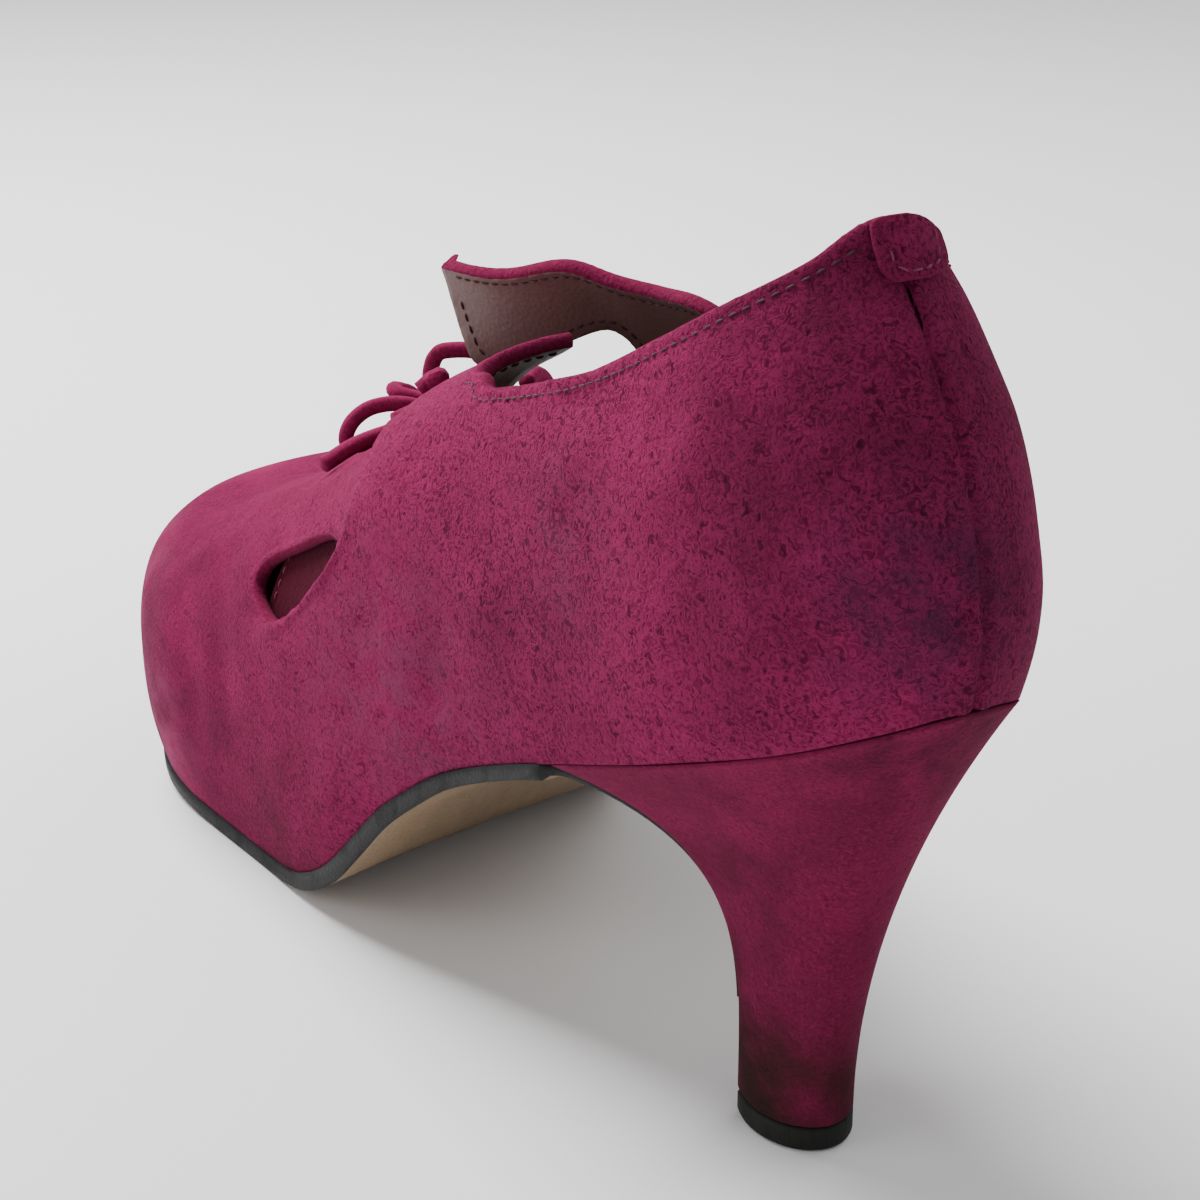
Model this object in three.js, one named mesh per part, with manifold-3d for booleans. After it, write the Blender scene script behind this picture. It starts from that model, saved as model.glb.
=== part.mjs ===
// A woman's high heel shoe, the left one: suede upper with side cut-outs, two cord bows, covered heel.
// Frame: origin in the middle of the heel's resting face, +X to the toe, +Y to the outer side, +Z up.
import * as THREE from "three";
import Module from "manifold-3d";
import { mergeVertices } from "three/addons/utils/BufferGeometryUtils.js";

const wasm = await Module();
wasm.setup();

// Driving sizes, in millimetres
const LENGTH = 227; // from the heel curve to the toe tip
const HEEL_REACH = 37.5; // how far the heel curve stands behind the middle of the heel tip
const BALL_WIDTH = 80;
const SEAT_WIDTH = 50;
const HEEL_HEIGHT = 81; // floor to the seam between upper and heel, at the back
const COLLAR_HEIGHT = 138; // floor to the collar over the back seam
const INSTEP_HEIGHT = 103; // floor to the top of the instep, where the opening ends
const TOE_HEIGHT = 55; // floor to the top of the toe box
const TOE_SPRING = 6; // how far the sole's toe stands off the floor
const HEEL_CURVE = 38; // how far forward the round of the heel curve reaches
const WALL = 2.2; // suede, lining and stiffener together
const PATCH = 1; // one layer of suede
const SOLE = 3.2; // outsole thickness
const FLAP_SOLE = 1.2; // the sole's thickness down the front of the heel
const INSOLE = 2;
const TIP_WIDTH = 15.2; // width of the heel tip
const TIP_LENGTH = 15.4;
const TOP_LIFT = 3.8; // thickness of the black piece under the heel
const TIP_SIDE = 1.9; // how far the heel tip stands to the inner side of the shoe's middle
const BREAST = 25.5; // how far the heel's front edge stands ahead of the heel tip's middle
const CORD = 2.6; // diameter of the bows' cord
const CLEAR = 0.3; // gap between pieces that touch

const TIP_X = LENGTH - HEEL_REACH;
const SEAT_RISE = COLLAR_HEIGHT - HEEL_HEIGHT;
const clamp = (v, low, high) => Math.min(high, Math.max(low, v));
const smooth = (v) => clamp(v, 0, 1) ** 2 * (3 - 2 * clamp(v, 0, 1));
const toRadians = (degrees) => (degrees * Math.PI) / 180;

// A smooth curve through one column of a table, read at the value of its key column.
function through(table, key, column) {
  const slope = (k) => {
    const a = table[Math.max(k - 1, 0)];
    const b = table[Math.min(k + 1, table.length - 1)];
    return (b[column] - a[column]) / (b[key] - a[key]);
  };
  return (at) => {
    const v = clamp(at, table[0][key], table[table.length - 1][key]);
    const k = clamp(table.findIndex((row) => row[key] >= v) - 1, 0, table.length - 2);
    const [a, b] = [table[k], table[k + 1]];
    const span = b[key] - a[key];
    const u = (v - a[key]) / span;
    return (
      a[column] * (1 + 2 * u) * (1 - u) ** 2 + slope(k) * span * u * (1 - u) ** 2 +
      b[column] * u * u * (3 - 2 * u) + slope(k + 1) * span * u * u * (u - 1)
    );
  };
}

// Sections of the last, heel to toe. at: share of LENGTH. seat and ball: shares of SEAT_WIDTH and BALL_WIDTH
// in the half widths of the outer and inner side. collar, instep, toe: shares of those heights in the ridge.
// wide: height of the widest level over the sole, share of INSTEP_HEIGHT.
// fullness: exponent of the upper half.
const SECTIONS = [
  {
    at: 0.0, seat: 0.49, outer: 0.0, inner: 0.0, collar: 1.19,
    instep: 0, toe: 0, wide: 0.1, fullness: 2.1, swing: 0,
  },
  {
    at: 0.115, seat: 0.5, outer: 0.0, inner: 0.0, collar: 1.1,
    instep: 0, toe: 0, wide: 0.105, fullness: 2.2, swing: 0,
  },
  {
    at: 0.247, seat: 0.36, outer: 0.107, inner: 0.09, collar: 0.66,
    instep: 0.388, toe: 0, wide: 0.135, fullness: 2.3, swing: 0,
  },
  {
    at: 0.379, seat: 0.18, outer: 0.25, inner: 0.213, collar: 0.25,
    instep: 0.775, toe: 0, wide: 0.145, fullness: 2.5, swing: 0,
  },
  {
    at: 0.449, seat: 0.08, outer: 0.345, inner: 0.3, collar: 0,
    instep: 1, toe: 0, wide: 0.155, fullness: 2.7, swing: 0,
  },
  {
    at: 0.511, seat: 0, outer: 0.425, inner: 0.395, collar: 0,
    instep: 0.925, toe: 0, wide: 0.17, fullness: 2.6, swing: 0,
  },
  {
    at: 0.577, seat: 0, outer: 0.447, inner: 0.43, collar: 0,
    instep: 0.82, toe: 0, wide: 0.185, fullness: 2.5, swing: -0.002,
  },
  {
    at: 0.652, seat: 0, outer: 0.465, inner: 0.47, collar: 0,
    instep: 0.725, toe: 0, wide: 0.2, fullness: 2.4, swing: -0.01,
  },
  {
    at: 0.731, seat: 0, outer: 0.503, inner: 0.472, collar: 0,
    instep: 0.3, toe: 0.623, wide: 0.205, fullness: 2.4, swing: -0.025,
  },
  {
    at: 0.82, seat: 0, outer: 0.558, inner: 0.447, collar: 0,
    instep: 0, toe: 1.035, wide: 0.2, fullness: 2.5, swing: -0.05,
  },
  {
    at: 0.92, seat: 0, outer: 0.57, inner: 0.43, collar: 0,
    instep: 0, toe: 1.03, wide: 0.195, fullness: 2.6, swing: -0.075,
  },
  {
    at: 1.0, seat: 0, outer: 0.565, inner: 0.425, collar: 0,
    instep: 0, toe: 1.01, wide: 0.19, fullness: 2.6, swing: -0.085,
  },
];

// Top of the sole, heel to toe. heel, sole, spring: shares of HEEL_HEIGHT, SOLE and TOE_SPRING.
const SOLE_LINE = [
  { at: 0.0, heel: 1.005, sole: 0, spring: 0 },
  { at: 0.026, heel: 0.962, sole: 0, spring: 0 },
  { at: 0.07, heel: 0.9, sole: 0, spring: 0 },
  { at: 0.13, heel: 0.83, sole: 0, spring: 0 },
  { at: 0.198, heel: 0.752, sole: 0, spring: 0 },
  { at: 0.277, heel: 0.665, sole: 0, spring: 0 },
  { at: 0.335, heel: 0.6, sole: 0, spring: 0 },
  { at: 0.405, heel: 0.505, sole: 0, spring: 0 },
  { at: 0.445, heel: 0.427, sole: 0, spring: 0 },
  { at: 0.48, heel: 0.335, sole: 0.3, spring: 0 },
  { at: 0.515, heel: 0.22, sole: 0.6, spring: 0 },
  { at: 0.555, heel: 0.1, sole: 0.85, spring: 0 },
  { at: 0.6, heel: 0.02, sole: 1, spring: 0 },
  { at: 0.635, heel: 0, sole: 1, spring: 0 },
  { at: 0.75, heel: 0, sole: 1, spring: 0 },
  { at: 0.85, heel: 0, sole: 1, spring: 0.3 },
  { at: 1.0, heel: 0, sole: 1, spring: 1.15 },
];

// The heel curve seen from the side. up: share of the way from seam to collar. fore: share of HEEL_REACH.
const HEEL_PROFILE = [
  { up: -0.6, fore: 0.2 },
  { up: 0.0, fore: 0.03 },
  { up: 0.17, fore: 0.0 },
  { up: 0.3, fore: 0.035 },
  { up: 0.42, fore: 0.085 },
  { up: 0.54, fore: 0.16 },
  { up: 0.65, fore: 0.265 },
  { up: 0.77, fore: 0.385 },
  { up: 0.88, fore: 0.52 },
  { up: 1.0, fore: 0.61 },
  { up: 1.35, fore: 0.8 },
];

// How the inner strap stands up off the instep. lift: share of INSTEP_HEIGHT.
// pull: share of the way to the middle.
const STRAP_STAND = [
  { at: 0.37, lift: 0.0, pull: 0.0 },
  { at: 0.436, lift: 0.1, pull: 0.0 },
  { at: 0.476, lift: 0.135, pull: 0.05 },
  { at: 0.507, lift: 0.17, pull: 0.15 },
  { at: 0.555, lift: 0.205, pull: 0.45 },
  { at: 0.59, lift: 0.235, pull: 0.68 },
  { at: 0.627, lift: 0.26, pull: 0.85 },
  { at: 0.63, lift: 0.26, pull: 0.85 },
  { at: 0.65, lift: 0.0, pull: 0.0 },
];

const column = (name) => through(SECTIONS, "at", name);
const [seatShare, outerShare, innerShare] = ["seat", "outer", "inner"].map(column);
const [collarShare, instepShare, toeShare] = ["collar", "instep", "toe"].map(column);
const [wideShare, fullness, swing] = ["wide", "fullness", "swing"].map(column);
const soleColumn = (name) => through(SOLE_LINE, "at", name);
const [lineHeel, lineSole, lineSpring] = ["heel", "sole", "spring"].map(soleColumn);
const heelFore = through(HEEL_PROFILE, "up", "fore");
const [strapLift, strapPull] = ["lift", "pull"].map((name) => through(STRAP_STAND, "at", name));

const share = (x) => (x + HEEL_REACH) / LENGTH;
const soleTop = (x) =>
  lineHeel(share(x)) * HEEL_HEIGHT + lineSole(share(x)) * (SOLE + CLEAR) + lineSpring(share(x)) * TOE_SPRING;
// The inner side bends later than the outer side: the ball line runs at an angle.
const BALL_ANGLE = 13; // millimetres along the shoe between the two sides' bends
const BALL_AT = { from: 0.3, full: 0.5, still: 0.66, to: 0.86 };
const ballShift = (x) => {
  const rise = smooth((share(x) - BALL_AT.from) / (BALL_AT.full - BALL_AT.from));
  return BALL_ANGLE * rise * (1 - smooth((share(x) - BALL_AT.still) / (BALL_AT.to - BALL_AT.still)));
};
const sideTop = (x, innerSide) => soleTop(innerSide ? x - ballShift(x) : x);
const heelCurveX = (z) => HEEL_REACH * (heelFore((z - HEEL_HEIGHT) / SEAT_RISE) - 1);

// The toe's round: every section shrinks towards the tip by this share.
const TOE_START = 0.73;
const TOE_POWER = 2.5;
const TOE_LEVEL = 0.5; // height of the foremost point, share of TOE_HEIGHT
const toeShrink = (x) => {
  const along = clamp((share(x) - TOE_START) / (1 - TOE_START), 0, 1);
  return (1 - along ** TOE_POWER) ** (1 / TOE_POWER);
};
const LOWER_FULLNESS = 2.5;
const TUCK = 1.15; // how far the lower round would go on below the sole, share of its height over it
const tipLevel = TOE_HEIGHT * TOE_LEVEL;

// The last's section at x: half widths, ridge, widest level and lowest point of its round.
function section(x, innerSide) {
  const at = share(x);
  const shrink = toeShrink(x);
  const toTip = (z) => tipLevel + (z - tipLevel) * shrink;
  const seat = seatShare(at) * SEAT_WIDTH;
  const ridge = collarShare(at) * COLLAR_HEIGHT + instepShare(at) * INSTEP_HEIGHT + toeShare(at) * TOE_HEIGHT;
  const wideOver = wideShare(at) * INSTEP_HEIGHT;
  const wide = sideTop(x, innerSide) + wideOver;
  return {
    outer: (seat + outerShare(at) * BALL_WIDTH) * shrink,
    inner: (seat + innerShare(at) * BALL_WIDTH) * shrink,
    middle: swing(at) * BALL_WIDTH,
    ridge: toTip(ridge),
    wide: toTip(wide),
    low: toTip(wide - wideOver * (1 + TUCK)),
    power: fullness(at),
  };
}

const power = (v, p) => Math.max(v, 0) ** p;

// A point of the last. lean: degrees from the ridge round the section, below zero on the inner side;
// the ridge is 0, the widest level 90, the sole's edge at soleLean.
function soleLean(x, innerSide) {
  const s = section(x, innerSide);
  const part = clamp((s.wide - sideTop(x, innerSide)) / (s.wide - s.low), 0, 1);
  return 90 + (Math.asin(part ** (LOWER_FULLNESS / 2)) * 180) / Math.PI;
}
function lastPoint(x, lean) {
  const side = lean < 0 ? -1 : 1;
  const s = section(x, side < 0);
  const half = side < 0 ? s.inner : s.outer;
  const angle = toRadians(90 - Math.abs(lean));
  const p = angle >= 0 ? 2 / s.power : 2 / LOWER_FULLNESS;
  const reach = power(Math.cos(angle), p);
  const rise = power(Math.sin(Math.abs(angle)), p);
  const z = angle >= 0 ? s.wide + (s.ridge - s.wide) * rise : s.wide - (s.wide - s.low) * rise;
  const back = clamp((x - heelCurveX(z)) / HEEL_CURVE, 0, 1);
  const close = Math.sqrt(1 - (1 - back) ** 2);
  return { x, y: s.middle + side * half * reach * close, z };
}

// The upper's surface: the last with the inner strap stood up.
const STRAP_FROM = 25; // degrees over the widest level where the strap starts to stand off the last
function upperPoint(x, lean, innerSide) {
  const p = lastPoint(x, lean);
  if (!innerSide) return p;
  const over = clamp((90 - Math.abs(lean) - STRAP_FROM) / (90 - STRAP_FROM), 0, 1);
  const at = share(x);
  p.z += strapLift(at) * INSTEP_HEIGHT * over ** 0.9;
  p.y *= 1 - strapPull(at) * smooth(over / 0.54);
  return p;
}

// The lean of the last's point at a height.
function leanAt(x, z, innerSide) {
  const s = section(x, innerSide);
  const part = clamp((z - s.wide) / (s.ridge - s.wide), 0, 1);
  return 90 - (Math.asin(part ** (s.power / 2)) * 180) / Math.PI;
}
const standX = (at) => at * LENGTH - HEEL_REACH;

// The collar seen from the side. at: share of LENGTH. up: share of the way from seam to collar height.
const COLLAR_LINE = [
  { at: 0.06, outer: 1.08, inner: 1.08 },
  { at: 0.098, outer: 1.0, inner: 1.0 },
  { at: 0.115, outer: 0.9, inner: 0.9 },
  { at: 0.158, outer: 0.77, inner: 0.775 },
  { at: 0.22, outer: 0.62, inner: 0.64 },
  { at: 0.29, outer: 0.488, inner: 0.54 },
  { at: 0.352, outer: 0.4, inner: 0.485 },
  { at: 0.39, outer: 0.355, inner: 0.465 },
];
// Edges given by at and lean. The strap's top edge, its end, the inner cut-out, the outer flap's end.
const STRAP_TOP = [
  { at: 0.436, lean: -24 },
  { at: 0.476, lean: -16 },
  { at: 0.507, lean: -11 },
  { at: 0.555, lean: -7 },
  { at: 0.595, lean: -3.5 },
  { at: 0.622, lean: 0.5 },
];
const INNER_CUT = [
  { at: 0.624, lean: -12 },
  { at: 0.62, lean: -24 },
  { at: 0.612, lean: -31 },
  { at: 0.585, lean: -33 },
  { at: 0.55, lean: -32 },
  { at: 0.515, lean: -33 },
  { at: 0.502, lean: -40 },
  { at: 0.51, lean: -50 },
  { at: 0.54, lean: -59 },
  { at: 0.58, lean: -66 },
  { at: 0.618, lean: -68 },
  { at: 0.655, lean: -65 },
  { at: 0.68, lean: -55 },
  { at: 0.686, lean: -42 },
  { at: 0.675, lean: -26 },
  { at: 0.66, lean: -12 },
  { at: 0.655, lean: 0.5 },
];
const OUTER_TURN = [
  { at: 0.451, lean: 0.5 },
  { at: 0.452, lean: 10 },
  { at: 0.45, lean: 18 },
  { at: 0.442, lean: 25 },
  { at: 0.428, lean: 30.5 },
  { at: 0.41, lean: 34.5 },
];
// The outer cut-out, by at and height over the floor as a share of INSTEP_HEIGHT.
const OUTER_CUT = [
  { at: 0.532, up: 0.672 },
  { at: 0.523, up: 0.664 },
  { at: 0.529, up: 0.631 },
  { at: 0.545, up: 0.592 },
  { at: 0.575, up: 0.531 },
  { at: 0.604, up: 0.486 },
  { at: 0.628, up: 0.468 },
  { at: 0.648, up: 0.473 },
  { at: 0.666, up: 0.492 },
  { at: 0.671, up: 0.513 },
  { at: 0.664, up: 0.542 },
  { at: 0.635, up: 0.58 },
  { at: 0.592, up: 0.63 },
  { at: 0.56, up: 0.66 },
];

// Outlines in the flat map of the upper: x along, and round, a length that stands for the lean.
const ROUND = 0.95; // millimetres of wall for a degree of lean
const mapPoint = (x, lean) => [x, lean * ROUND];
const byLean = (rows) => rows.map((row) => mapPoint(standX(row.at), row.lean));
const byCollar = (side, sign) =>
  COLLAR_LINE.map((row) => {
    const x = standX(row.at);
    return mapPoint(x, sign * leanAt(x, HEEL_HEIGHT + row[side] * SEAT_RISE, sign < 0));
  });
const FAR_BACK = -HEEL_REACH * 2;
const EDGE = byCollar("outer", 1)[0][1];
// The opening is cut in two maps, one for each side of the ridge.
const OUTER_OPENING = [
  [FAR_BACK, -9],
  [FAR_BACK, EDGE],
  ...byCollar("outer", 1),
  ...byLean([...OUTER_TURN].reverse()),
  [standX(OUTER_TURN[0].at), -9],
];
const INNER_OPENING = [
  [FAR_BACK, 9],
  [FAR_BACK, -EDGE],
  ...byCollar("inner", -1),
  ...byLean(STRAP_TOP),
  [standX(STRAP_TOP[5].at), 9],
  [standX(INNER_CUT[0].at), 9],
  ...byLean(INNER_CUT),
  [standX(INNER_CUT[INNER_CUT.length - 1].at), 9.2],
  [standX(INNER_CUT[0].at) - 0.2, 9.2],
  [standX(STRAP_TOP[5].at) - 0.2, 9.2],
];
const OUTER_HOLE = OUTER_CUT.map((row) => {
  const x = standX(row.at);
  return mapPoint(x, leanAt(x, row.up * INSTEP_HEIGHT));
});

// Signed distance to a closed outline, above zero outside it.
function outside(outline, [px, py]) {
  let nearest = Infinity;
  let inside = false;
  outline.forEach(([ax, ay], k) => {
    const [bx, by] = outline[(k + 1) % outline.length];
    const [dx, dy] = [bx - ax, by - ay];
    const u = clamp(((px - ax) * dx + (py - ay) * dy) / (dx * dx + dy * dy || 1), 0, 1);
    nearest = Math.min(nearest, Math.hypot(px - ax - u * dx, py - ay - u * dy));
    if (ay > py !== by > py && px < ((bx - ax) * (py - ay)) / (by - ay) + ax) inside = !inside;
  });
  return inside ? -nearest : nearest;
}
const upperKeeps = (x, lean, innerSide) => {
  const at = mapPoint(x, lean);
  if (innerSide) return outside(INNER_OPENING, at);
  return Math.min(outside(OUTER_OPENING, at), outside(OUTER_HOLE, at));
};

// Steps along the shoe: closer together where the heel curve and the toe turn.
const HEEL_PART = 0.13;
const TOE_PART = 0.2;
function spacing(s) {
  const pace = 1 + HEEL_PART + TOE_PART;
  const first = (2 * HEEL_PART) / pace;
  const last = 1 - (2 * TOE_PART) / pace;
  if (s < first) return HEEL_PART * (s / first) ** 2;
  if (s > last) return 1 - TOE_PART * ((1 - s) / (1 - last)) ** 2;
  return HEEL_PART + pace * (s - first);
}
// x and lean at a grid place: s along, t from the ridge (0) to the sole's edge (1).
function gridPlace(s, t, innerSide) {
  let x = standX(spacing(s));
  let lean = 0;
  for (let round = 0; round < 6; round++) {
    lean = t * soleLean(x, innerSide) * (innerSide ? -1 : 1);
    const back = heelCurveX(lastPoint(x, lean).z);
    x = back + (TIP_X - back) * spacing(s);
  }
  return { x, lean };
}

// A wall of even thickness on the upper's surface, where keep(x, lean, innerSide) is above zero.
// off: how far its outer face stands out of the surface. top: where the grid starts round the section.
function wall({ along, round, from, to, top, keep, off, thickness, surface }) {
  const points = [];
  const triangles = [];
  const known = new Map();
  const vertex = (s, t, innerSide) => {
    const { x, lean } = gridPlace(s, t, innerSide);
    const p = surface(x, lean, innerSide);
    const name = [p.x, p.y, p.z].map((v) => Math.round(v * 200)).join();
    if (!known.has(name)) {
      known.set(name, points.length);
      points.push({ p: new THREE.Vector3(p.x, p.y, p.z), n: new THREE.Vector3() });
    }
    return known.get(name);
  };
  const snap = 0.9;
  for (const innerSide of [false, true]) {
    const grid = [];
    for (let i = 0; i <= along; i++) {
      for (let j = 0; j <= round; j++) {
        const s = from + ((to - from) * i) / along;
        const t = top + ((1 - top) * j) / round;
        const { x, lean } = gridPlace(s, t, innerSide);
        const d = keep(x, lean, innerSide);
        grid.push({ s, t, d: Math.abs(d) < snap ? 0 : d });
      }
    }
    const cell = (i, j) => grid[i * (round + 1) + j];
    const cut = (corners) => {
      if (!corners.some((c) => c.d > 0)) return;
      const kept = [];
      corners.forEach((a, k) => {
        const b = corners[(k + 1) % 3];
        if (a.d >= 0) kept.push(vertex(a.s, a.t, innerSide));
        if (a.d * b.d < 0) {
          const [low, high] = a.d < b.d ? [a, b] : [b, a];
          const u = low.d / (low.d - high.d);
          kept.push(vertex(low.s + u * (high.s - low.s), low.t + u * (high.t - low.t), innerSide));
        }
      });
      for (let k = 1; k + 1 < kept.length; k++) {
        const t = [kept[0], kept[k], kept[k + 1]];
        if (new Set(t).size === 3) triangles.push(innerSide ? [t[0], t[2], t[1]] : t);
      }
    };
    for (let i = 0; i < along; i++) {
      for (let j = 0; j < round; j++) {
        const [a, b, c, d] = [cell(i, j), cell(i + 1, j), cell(i + 1, j + 1), cell(i, j + 1)];
        cut([a, b, c]);
        cut([a, c, d]);
      }
    }
  }
  const [ab, ac] = [new THREE.Vector3(), new THREE.Vector3()];
  for (const [a, b, c] of triangles) {
    ab.subVectors(points[b].p, points[a].p);
    ac.subVectors(points[c].p, points[a].p);
    const n = ab.cross(ac);
    for (const k of [a, b, c]) points[k].n.add(n);
  }
  const place = (q, offset) => q.p.clone().addScaledVector(q.n.clone().normalize(), offset);
  const count = points.length;
  const positions = [];
  for (const q of points) positions.push(...place(q, off).toArray());
  for (const q of points) positions.push(...place(q, off - thickness).toArray());
  const index = [];
  const edges = new Map();
  for (const [a, b, c] of triangles) {
    index.push(a, b, c, a + count, c + count, b + count);
    for (const [m, n] of [[a, b], [b, c], [c, a]]) edges.set(m + "," + n, [m, n]);
  }
  for (const [m, n] of edges.values()) {
    if (edges.has(n + "," + m)) continue;
    index.push(m, n + count, n, m, m + count, n + count);
  }
  return meshOf(positions, index);
}

function meshOf(positions, index) {
  const g = new THREE.BufferGeometry();
  g.setAttribute("position", new THREE.Float32BufferAttribute(positions, 3));
  g.setIndex(index);
  return mergeVertices(g, 1e-3);
}

// Solid between closed rings of points, each ring a row of the same count, ends closed to their middles.
function loft(rings) {
  const count = rings[0].length;
  const positions = rings.flat(2);
  const index = [];
  for (let k = 0; k + 1 < rings.length; k++) {
    for (let i = 0; i < count; i++) {
      const [a, b] = [k * count + i, k * count + ((i + 1) % count)];
      index.push(a, b, b + count, a, b + count, a + count);
    }
  }
  const cap = (ring, start, turn) => {
    const middle = ring.reduce((m, p) => m.map((v, k) => v + p[k] / count), [0, 0, 0]);
    const centre = positions.length / 3;
    positions.push(...middle);
    for (let i = 0; i < count; i++) {
      const [a, b] = [start + i, start + ((i + 1) % count)];
      index.push(centre, ...(turn ? [b, a] : [a, b]));
    }
  };
  cap(rings[0], 0, true);
  cap(rings[rings.length - 1], (rings.length - 1) * count, false);
  return meshOf(positions, index);
}

// Where the upper's outer face meets the sole at x.
const soleEdge = (x, innerSide) => lastPoint(x, soleLean(x, innerSide) * (innerSide ? -1 : 1)).y;

// Height of the sole's upper face: straight across from edge to edge.
function soleLevel(x, y) {
  const [inner, outer] = [soleEdge(x, true), soleEdge(x, false)];
  const part = (y - inner) / (outer - inner);
  return sideTop(x, true) * (1 - part) + sideTop(x, false) * part;
}

// The sole's outline reaches this far: where both edges meet behind the toe's tip.
function soleReach() {
  let x = TIP_X;
  while (soleEdge(x, false) - soleEdge(x, true) < 1) x -= 0.25;
  return x;
}
const SOLE_TIP = soleReach();

// Heel tip outline: flat front, round back. turn: degrees, 0 at the front.
const CORNER = 45;
const CORNER_WIDTH = 0.84; // half width of the flat front, share of the tip's half width
function tipOutline(turn, inset) {
  const half = TIP_WIDTH / 2 - inset;
  const front = TIP_LENGTH / 2 - inset;
  const angle = Math.abs(turn) <= CORNER ? null : toRadians(Math.abs(turn));
  if (angle === null) return [front, half * CORNER_WIDTH * Math.tan(toRadians(turn)) - TIP_SIDE];
  const start = Math.asin(CORNER_WIDTH);
  const swingTo = start + ((Math.PI - start) * (Math.abs(turn) - CORNER)) / (180 - CORNER);
  const radius = (2 * front) / (1 + Math.cos(start));
  return [radius * Math.cos(swingTo) + radius - front, Math.sign(turn) * half * Math.sin(swingTo) - TIP_SIDE];
}
// Heel seat outline: flat front at BREAST, then along the upper's edge to the back.
function seatOutline(turn) {
  if (Math.abs(turn) <= CORNER) {
    const edge = soleEdge(BREAST, turn < 0);
    return [BREAST, Math.abs(edge) * Math.tan(toRadians(turn)), soleTop(BREAST)];
  }
  const back = (Math.abs(turn) - CORNER) / (180 - CORNER);
  const end = heelCurveX(soleTop(-HEEL_REACH + 1)) + 0.02;
  const x = end + (BREAST - end) * (1 - back) ** 2;
  return [x, soleEdge(x, turn < 0), soleTop(x)];
}
// How late the heel widens towards its seat: exponents along and across,
// at the front corners and at the back.
const FLARE = { frontAlong: 3.7, backAlong: 1.8, frontAcross: 4.7, backAcross: 2.1 };
const HEEL_STEPS = 14;
const HEEL_TURNS = 32;
const heelFoot = TOP_LIFT + CLEAR;
function heelPoint(turn, up) {
  const [bx, by] = tipOutline(turn, 0);
  const [sx, sy, sz] = seatOutline(turn);
  const forward = (1 + Math.cos(toRadians(turn))) / 2;
  const atFront = Math.abs(turn) <= CORNER ? 1 : forward ** 1.5;
  const flareX = FLARE.backAlong + (FLARE.frontAlong - FLARE.backAlong) * atFront;
  const flareY = FLARE.backAcross + (FLARE.frontAcross - FLARE.backAcross) * atFront;
  const top = sz - CLEAR;
  return [bx + (sx - bx) * up ** flareX, by + (sy - by) * up ** flareY, heelFoot + (top - heelFoot) * up];
}
const turns = Array.from({ length: HEEL_TURNS }, (_, k) => -180 + (360 * (k + 1)) / HEEL_TURNS);
function heelSolid() {
  const rings = [];
  for (let k = 0; k <= HEEL_STEPS; k++) rings.push(turns.map((turn) => heelPoint(turn, k / HEEL_STEPS)));
  // The seat follows the sole line, so its top is closed by rings that shrink to its middle.
  const rim = rings[HEEL_STEPS];
  const middle = (BREAST - HEEL_REACH) / 2;
  for (const part of [0.75, 0.5, 0.25]) {
    rings.push(
      rim.map(([x, y]) => {
        const inward = middle + (x - middle) * part;
        return [inward, y * part, soleTop(inward) - CLEAR];
      }),
    );
  }
  return loft(rings);
}
function topLiftSolid() {
  const ring = (z, inset) => turns.map((turn) => [...tipOutline(turn, inset), z]);
  return loft([ring(0, 0.4), ring(0.5, 0), ring(TOP_LIFT, 0)]);
}

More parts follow.
